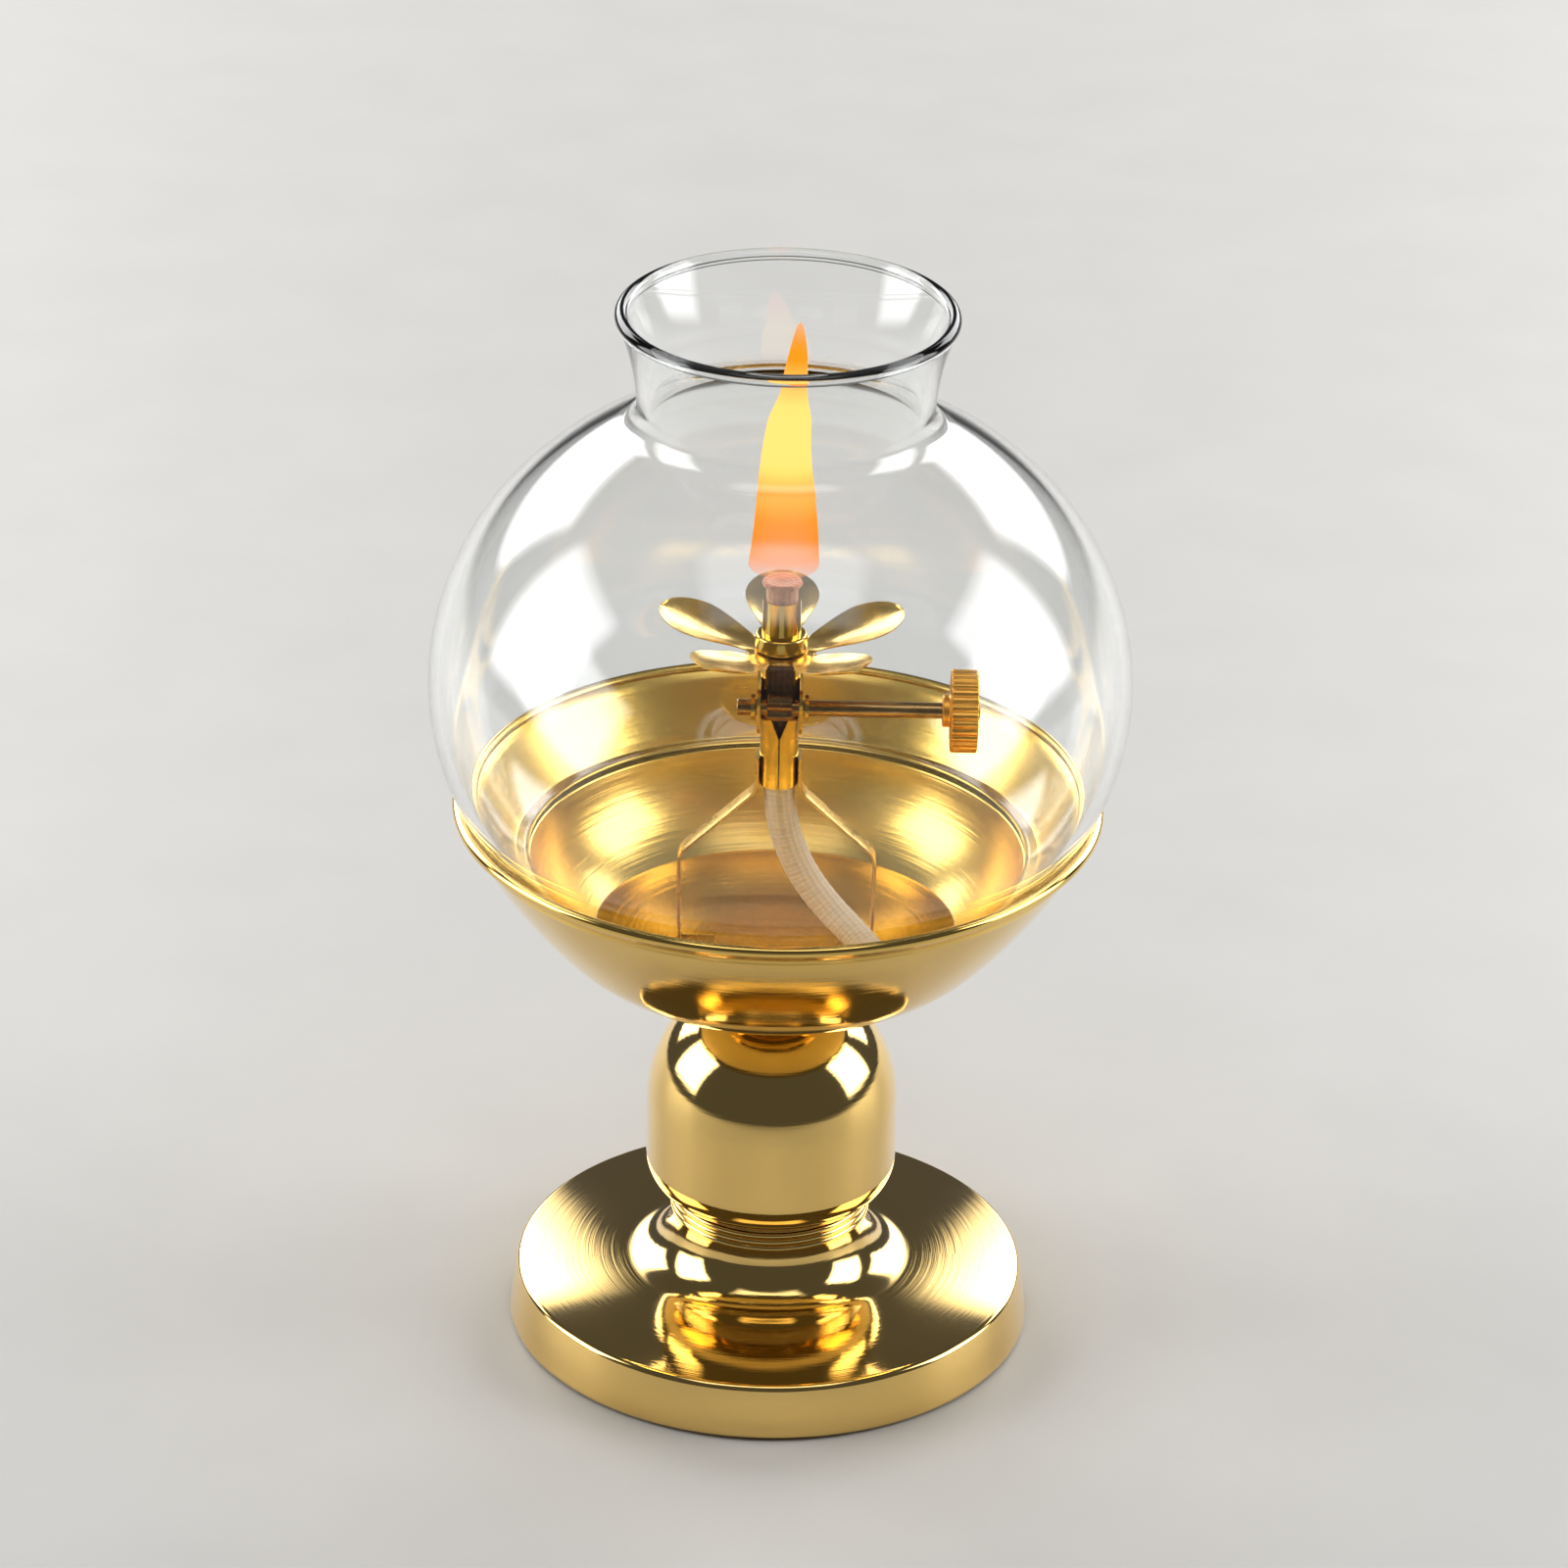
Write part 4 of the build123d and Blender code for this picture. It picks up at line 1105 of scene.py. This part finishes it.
class LAMP_OT_wick_raiser(bpy.types.Operator):
    """Add the wick raiser: its shaft, the toothed star that bites the wick, and the thumbwheel"""

    bl_idname = "lamp.wick_raiser"
    bl_label = "Wick raiser"
    bl_options = {"REGISTER", "UNDO"}

    def execute(self, context):
        b = burner()
        low, high = box_of("wick_shaft")
        brass = sheet_brass("shaft_brass", colours().aged, 0.20, 500.0)
        rod = [(0, low[0]), (b.shaft_radius, low[0]), (b.shaft_radius, high[0]), (0, high[0])]
        shaft = surface("raiser_shaft", on_shaft(spun(rounded(rod, 0.25 * MM), 48)))
        place(shaft, brass, "spindle", "burner_brass", "wick_shaft")

        low, high = box_of("star_wheel")
        tip, root = (high[2] - low[2]) / 2, 1.45 * MM
        star = rounded(
            [(b.shaft_radius, low[0]), (tip, low[0]), (tip, high[0]), (b.shaft_radius, high[0])],
            0.15 * MM,
        )
        turn = np.arange(96) / 12
        tooth = 1 - (1 - root / tip) * np.abs(2 * (turn % 1) - 1)
        teeth = np.where(star[:, :1] > root, tooth[None, :], 1.0)
        toothed = surface("star", on_shaft(spun(star, 96, teeth)), close_rows=True)
        dark = sheet_brass("star_brass", colours().aged, 0.24, 500.0)
        place(toothed, dark, "spindle", "burner_brass", "star_wheel")

        low, high = box_of("thumb_wheel")
        face = low[0] + b.wheel_hub_length
        corners = [
            (b.shaft_radius, low[0]), (b.wheel_hub, low[0]), (b.wheel_hub, face),
            (b.wheel_radius, face), (b.wheel_radius, high[0]), (b.wheel_hub, high[0]),
            (b.shaft_radius, high[0]),
        ]
        profile = rounded(corners, 0.35 * MM, 6)
        knurl = 0.5 + 0.5 * np.cos(np.arange(480) * FULL_TURN * 30 / 480)
        depth = b.wheel_knurl / b.wheel_radius * np.clip(profile[:, :1] / b.wheel_radius * 6 - 5, 0, 1)
        grid = spun(profile, 480, 1 - depth * knurl[None, :] ** 2)
        wheel = surface("thumbwheel", on_shaft(grid), close_rows=True)
        amber = sheet_brass("wheel_brass", colours().amber, 0.34, 420.0)
        place(wheel, amber, "spindle", "wheel_brass", "thumb_wheel")
        return {"FINISHED"}


class LAMP_OT_wick(bpy.types.Operator):
    """Add the wick in the tube: its top is a little fluffed, and its front is flat at the star"""

    bl_idname = "lamp.wick"
    bl_label = "Wick"
    bl_options = {"REGISTER", "UNDO"}

    def execute(self, context):
        b = burner()
        low, high = box_of("wick")
        star_low, star_high = box_of("star_wheel")
        top = high[2] + 0.5 * MM
        neck = box_of("wick_tube")[1][2] + b.wick_clear
        side = np.linspace((b.wick_radius, low[2]), (b.wick_radius, neck), 130)
        bead = 0.4 * MM
        crown = circle((b.wick_head - bead, top - bead), bead, -60, 84, 12)
        middle = np.linspace(crown[-1], (0, top - 0.2 * MM), 8)
        profile = joined((0, low[2]), side, crown, middle)
        turn = np.arange(96) * FULL_TURN / 96
        lumps = np.sin(YARNS * turn) * np.sin(profile[:, 1:] * FULL_TURN / PLAIT_PITCH)
        points = spun(profile, 96, 1 - PLAIT_RELIEF * (1 + lumps))
        bite_gap, travel_up, travel_down = 0.25 * MM, 7.0 * MM, 3.0 * MM
        flat = -star_high[1] - bite_gap
        start, end = star_low[2] - travel_up, star_high[2] + travel_down
        height = points[..., 2]
        inside = smooth_step((height - start) / MM + 1) * smooth_step((end - height) / MM + 1)
        points[..., 1] = np.maximum(points[..., 1], -b.wick_radius + (b.wick_radius - flat) * inside)
        wick = surface("wick_core_braid", points, sharp=70)
        # The cotton is painted dark up to 3.6 mm under the wick's top: partly the oil in it, partly
        # painted shade inside the tube.
        cotton = braided_cotton("cotton_wick", colours().cotton, oil_and_shade_height=(high[2] - 3.6 * MM) / MM)
        place(wick, cotton, "wick_core", "cotton", "wick")
        return {"FINISHED"}


class LAMP_OT_flame(bpy.types.Operator):
    """Add the flame over the wick: a tapering body, a round shoulder and a thin tip, leaning a little"""

    bl_idname = "lamp.flame"
    bl_label = "Flame"
    bl_options = {"REGISTER", "UNDO"}

    def execute(self, context):
        b, c = burner(), colours()
        low = box_of("wick")[1][2] + 1.2 * MM
        share = np.linspace(0, 1, 90)
        shoulder, tip = 0.62, 0.78
        body = (1 - 0.65 * share) * (1 - 0.32 * smooth_step((share - shoulder) / 0.15))
        ends = np.clip(share / 0.04, 0, 1) * (1 - np.clip((share - tip) / (1 - tip), 0, 1) ** 1.6)
        swell = body * np.sqrt(ends)
        profile = np.stack([b.flame_radius * swell, low + b.flame_height * share], axis=1)
        points = spun(profile, 64)
        climb = share[:, None] ** 2
        waver, flatness = 0.25 * MM, 0.86
        points[..., 0] += b.flame_lean * climb + waver * np.sin(share[:, None] * 9)
        points[..., 1] *= flatness
        flame = surface("flame", points, sharp=80)
        gas = flame_shell(
            "burning_gas", c.flame_core, c.flame_base, low, low + b.flame_height, 1.5
        )
        flame.data.materials.append(gas)
        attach(flame, "wick_core")
        return {"FINISHED"}


class LAMP_OT_stage(bpy.types.Operator):
    """Add the plain pale floor and the soft lights, which are not part of the lamp"""

    bl_idname = "lamp.stage"
    bl_label = "Floor and lights"
    bl_options = {"REGISTER", "UNDO"}

    def execute(self, context):
        reach = 4.0
        corners = np.array([[[x, y, 0.0] for x in (-reach, reach)] for y in (-reach, reach)])
        floor = surface("floor", corners, close_columns=False)
        finish = Finish("floor", Roughness=0.55)
        grain = finish.noise(finish.place(), 40.0, 4.0)
        tint = finish.mix(grain + 0.5, (0.50, 0.49, 0.47), (0.55, 0.54, 0.52))
        finish.feed(Base_Color=tint)
        floor.data.materials.append(finish.material)

        world = bpy.data.worlds.new("studio")
        world.use_nodes = True
        background = world.node_tree.nodes["Background"]
        background.inputs["Color"].default_value = (0.62, 0.63, 0.65, 1.0)
        background.inputs["Strength"].default_value = 0.14
        context.scene.world = world
        context.scene.view_settings.view_transform = "Standard"

        softboxes = [
            ("softbox_left", (-0.66, 0.02, 0.34), (0.50, 0.56), 3.6),
            ("softbox_right", (0.66, 0.02, 0.34), (0.50, 0.56), 3.6),
            ("softbox_back_left", (-0.62, 0.98, 0.56), (1.0, 0.62), 8.6),
            ("softbox_back_right", (0.62, 0.98, 0.56), (1.0, 0.62), 8.6),
            ("softbox_over", (0.0, -0.35, 1.25), (1.1, 0.7), 3.2),
        ]
        for name, at, size, power in softboxes:
            self.softbox(context, name, Vector(at), size, power)
        return {"FINISHED"}

    def softbox(self, context, name, at, size, power):
        """An area light that fades towards its edges, aimed at the lamp."""
        data = bpy.data.lights.new(name, "AREA")
        data.shape = "RECTANGLE"
        data.size, data.size_y = size
        data.energy = power
        nodes = NodeTree(data)
        place = nodes.node("ShaderNodeNewGeometry").outputs["Parametric"]
        parts = nodes.node("ShaderNodeSeparateXYZ", {0: place})
        fade = 1.0
        for axis in (0, 1):
            share = Value(nodes, parts.outputs[axis])
            fade = (share * (1 - share) * 9.0).math("MINIMUM", 1.0) * fade
        glow = nodes.node("ShaderNodeEmission", {"Strength": fade * 1.3})
        output = nodes.node("ShaderNodeOutputLight")
        nodes.connect(glow.outputs[0], output.inputs[0])
        lamp = bpy.data.objects.new(name, data)
        lamp.location = at
        aim = Vector((0.0, 0.0, 0.08))
        lamp.rotation_euler = (aim - at).to_track_quat("-Z", "Y").to_euler()
        lamp.visible_camera = False
        context.scene.collection.objects.link(lamp)


OPERATORS = (
    LAMP_OT_camera,
    LAMP_OT_wick_tail,
    LAMP_OT_foot,
    LAMP_OT_bowl,
    LAMP_OT_oil,
    LAMP_OT_fasteners,
    LAMP_OT_globe,
    LAMP_OT_tube_and_legs,
    LAMP_OT_petals,
    LAMP_OT_wick_raiser,
    LAMP_OT_wick,
    LAMP_OT_flame,
    LAMP_OT_stage,
)


class LAMP_PT_sidebar(bpy.types.Panel):
    """The lamp's sizes and colours, and a button for each group of pieces"""

    bl_idname = "LAMP_PT_sidebar"
    bl_label = "Oil Lamp"
    bl_space_type = "VIEW_3D"
    bl_region_type = "UI"
    bl_category = "Oil Lamp"

    def draw(self, context):
        for operator in OPERATORS:
            self.layout.operator(operator.bl_idname)
        scene = context.scene
        for group in (scene.lamp_stand, scene.lamp_globe, scene.lamp_burner, scene.lamp_colours):
            box = self.layout.box()
            for name in group.bl_rna.properties.keys():
                if name not in {"rna_type", "name"}:
                    box.prop(group, name)


GROUPS = {
    "lamp_stand": StandSizes,
    "lamp_globe": GlobeSizes,
    "lamp_burner": BurnerSizes,
    "lamp_colours": LampColours,
}


def register():
    for name, group in GROUPS.items():
        bpy.utils.register_class(group)
        setattr(bpy.types.Scene, name, bpy.props.PointerProperty(type=group))
    for item in OPERATORS + (LAMP_PT_sidebar,):
        bpy.utils.register_class(item)


def unregister():
    for item in reversed(OPERATORS + (LAMP_PT_sidebar,)):
        bpy.utils.unregister_class(item)
    for name, group in reversed(GROUPS.items()):
        delattr(bpy.types.Scene, name)
        bpy.utils.unregister_class(group)


def main():
    """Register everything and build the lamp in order."""
    register()
    for operator in OPERATORS:
        group, name = operator.bl_idname.split(".")
        getattr(getattr(bpy.ops, group), name)()


if __name__ == "__main__":
    main()
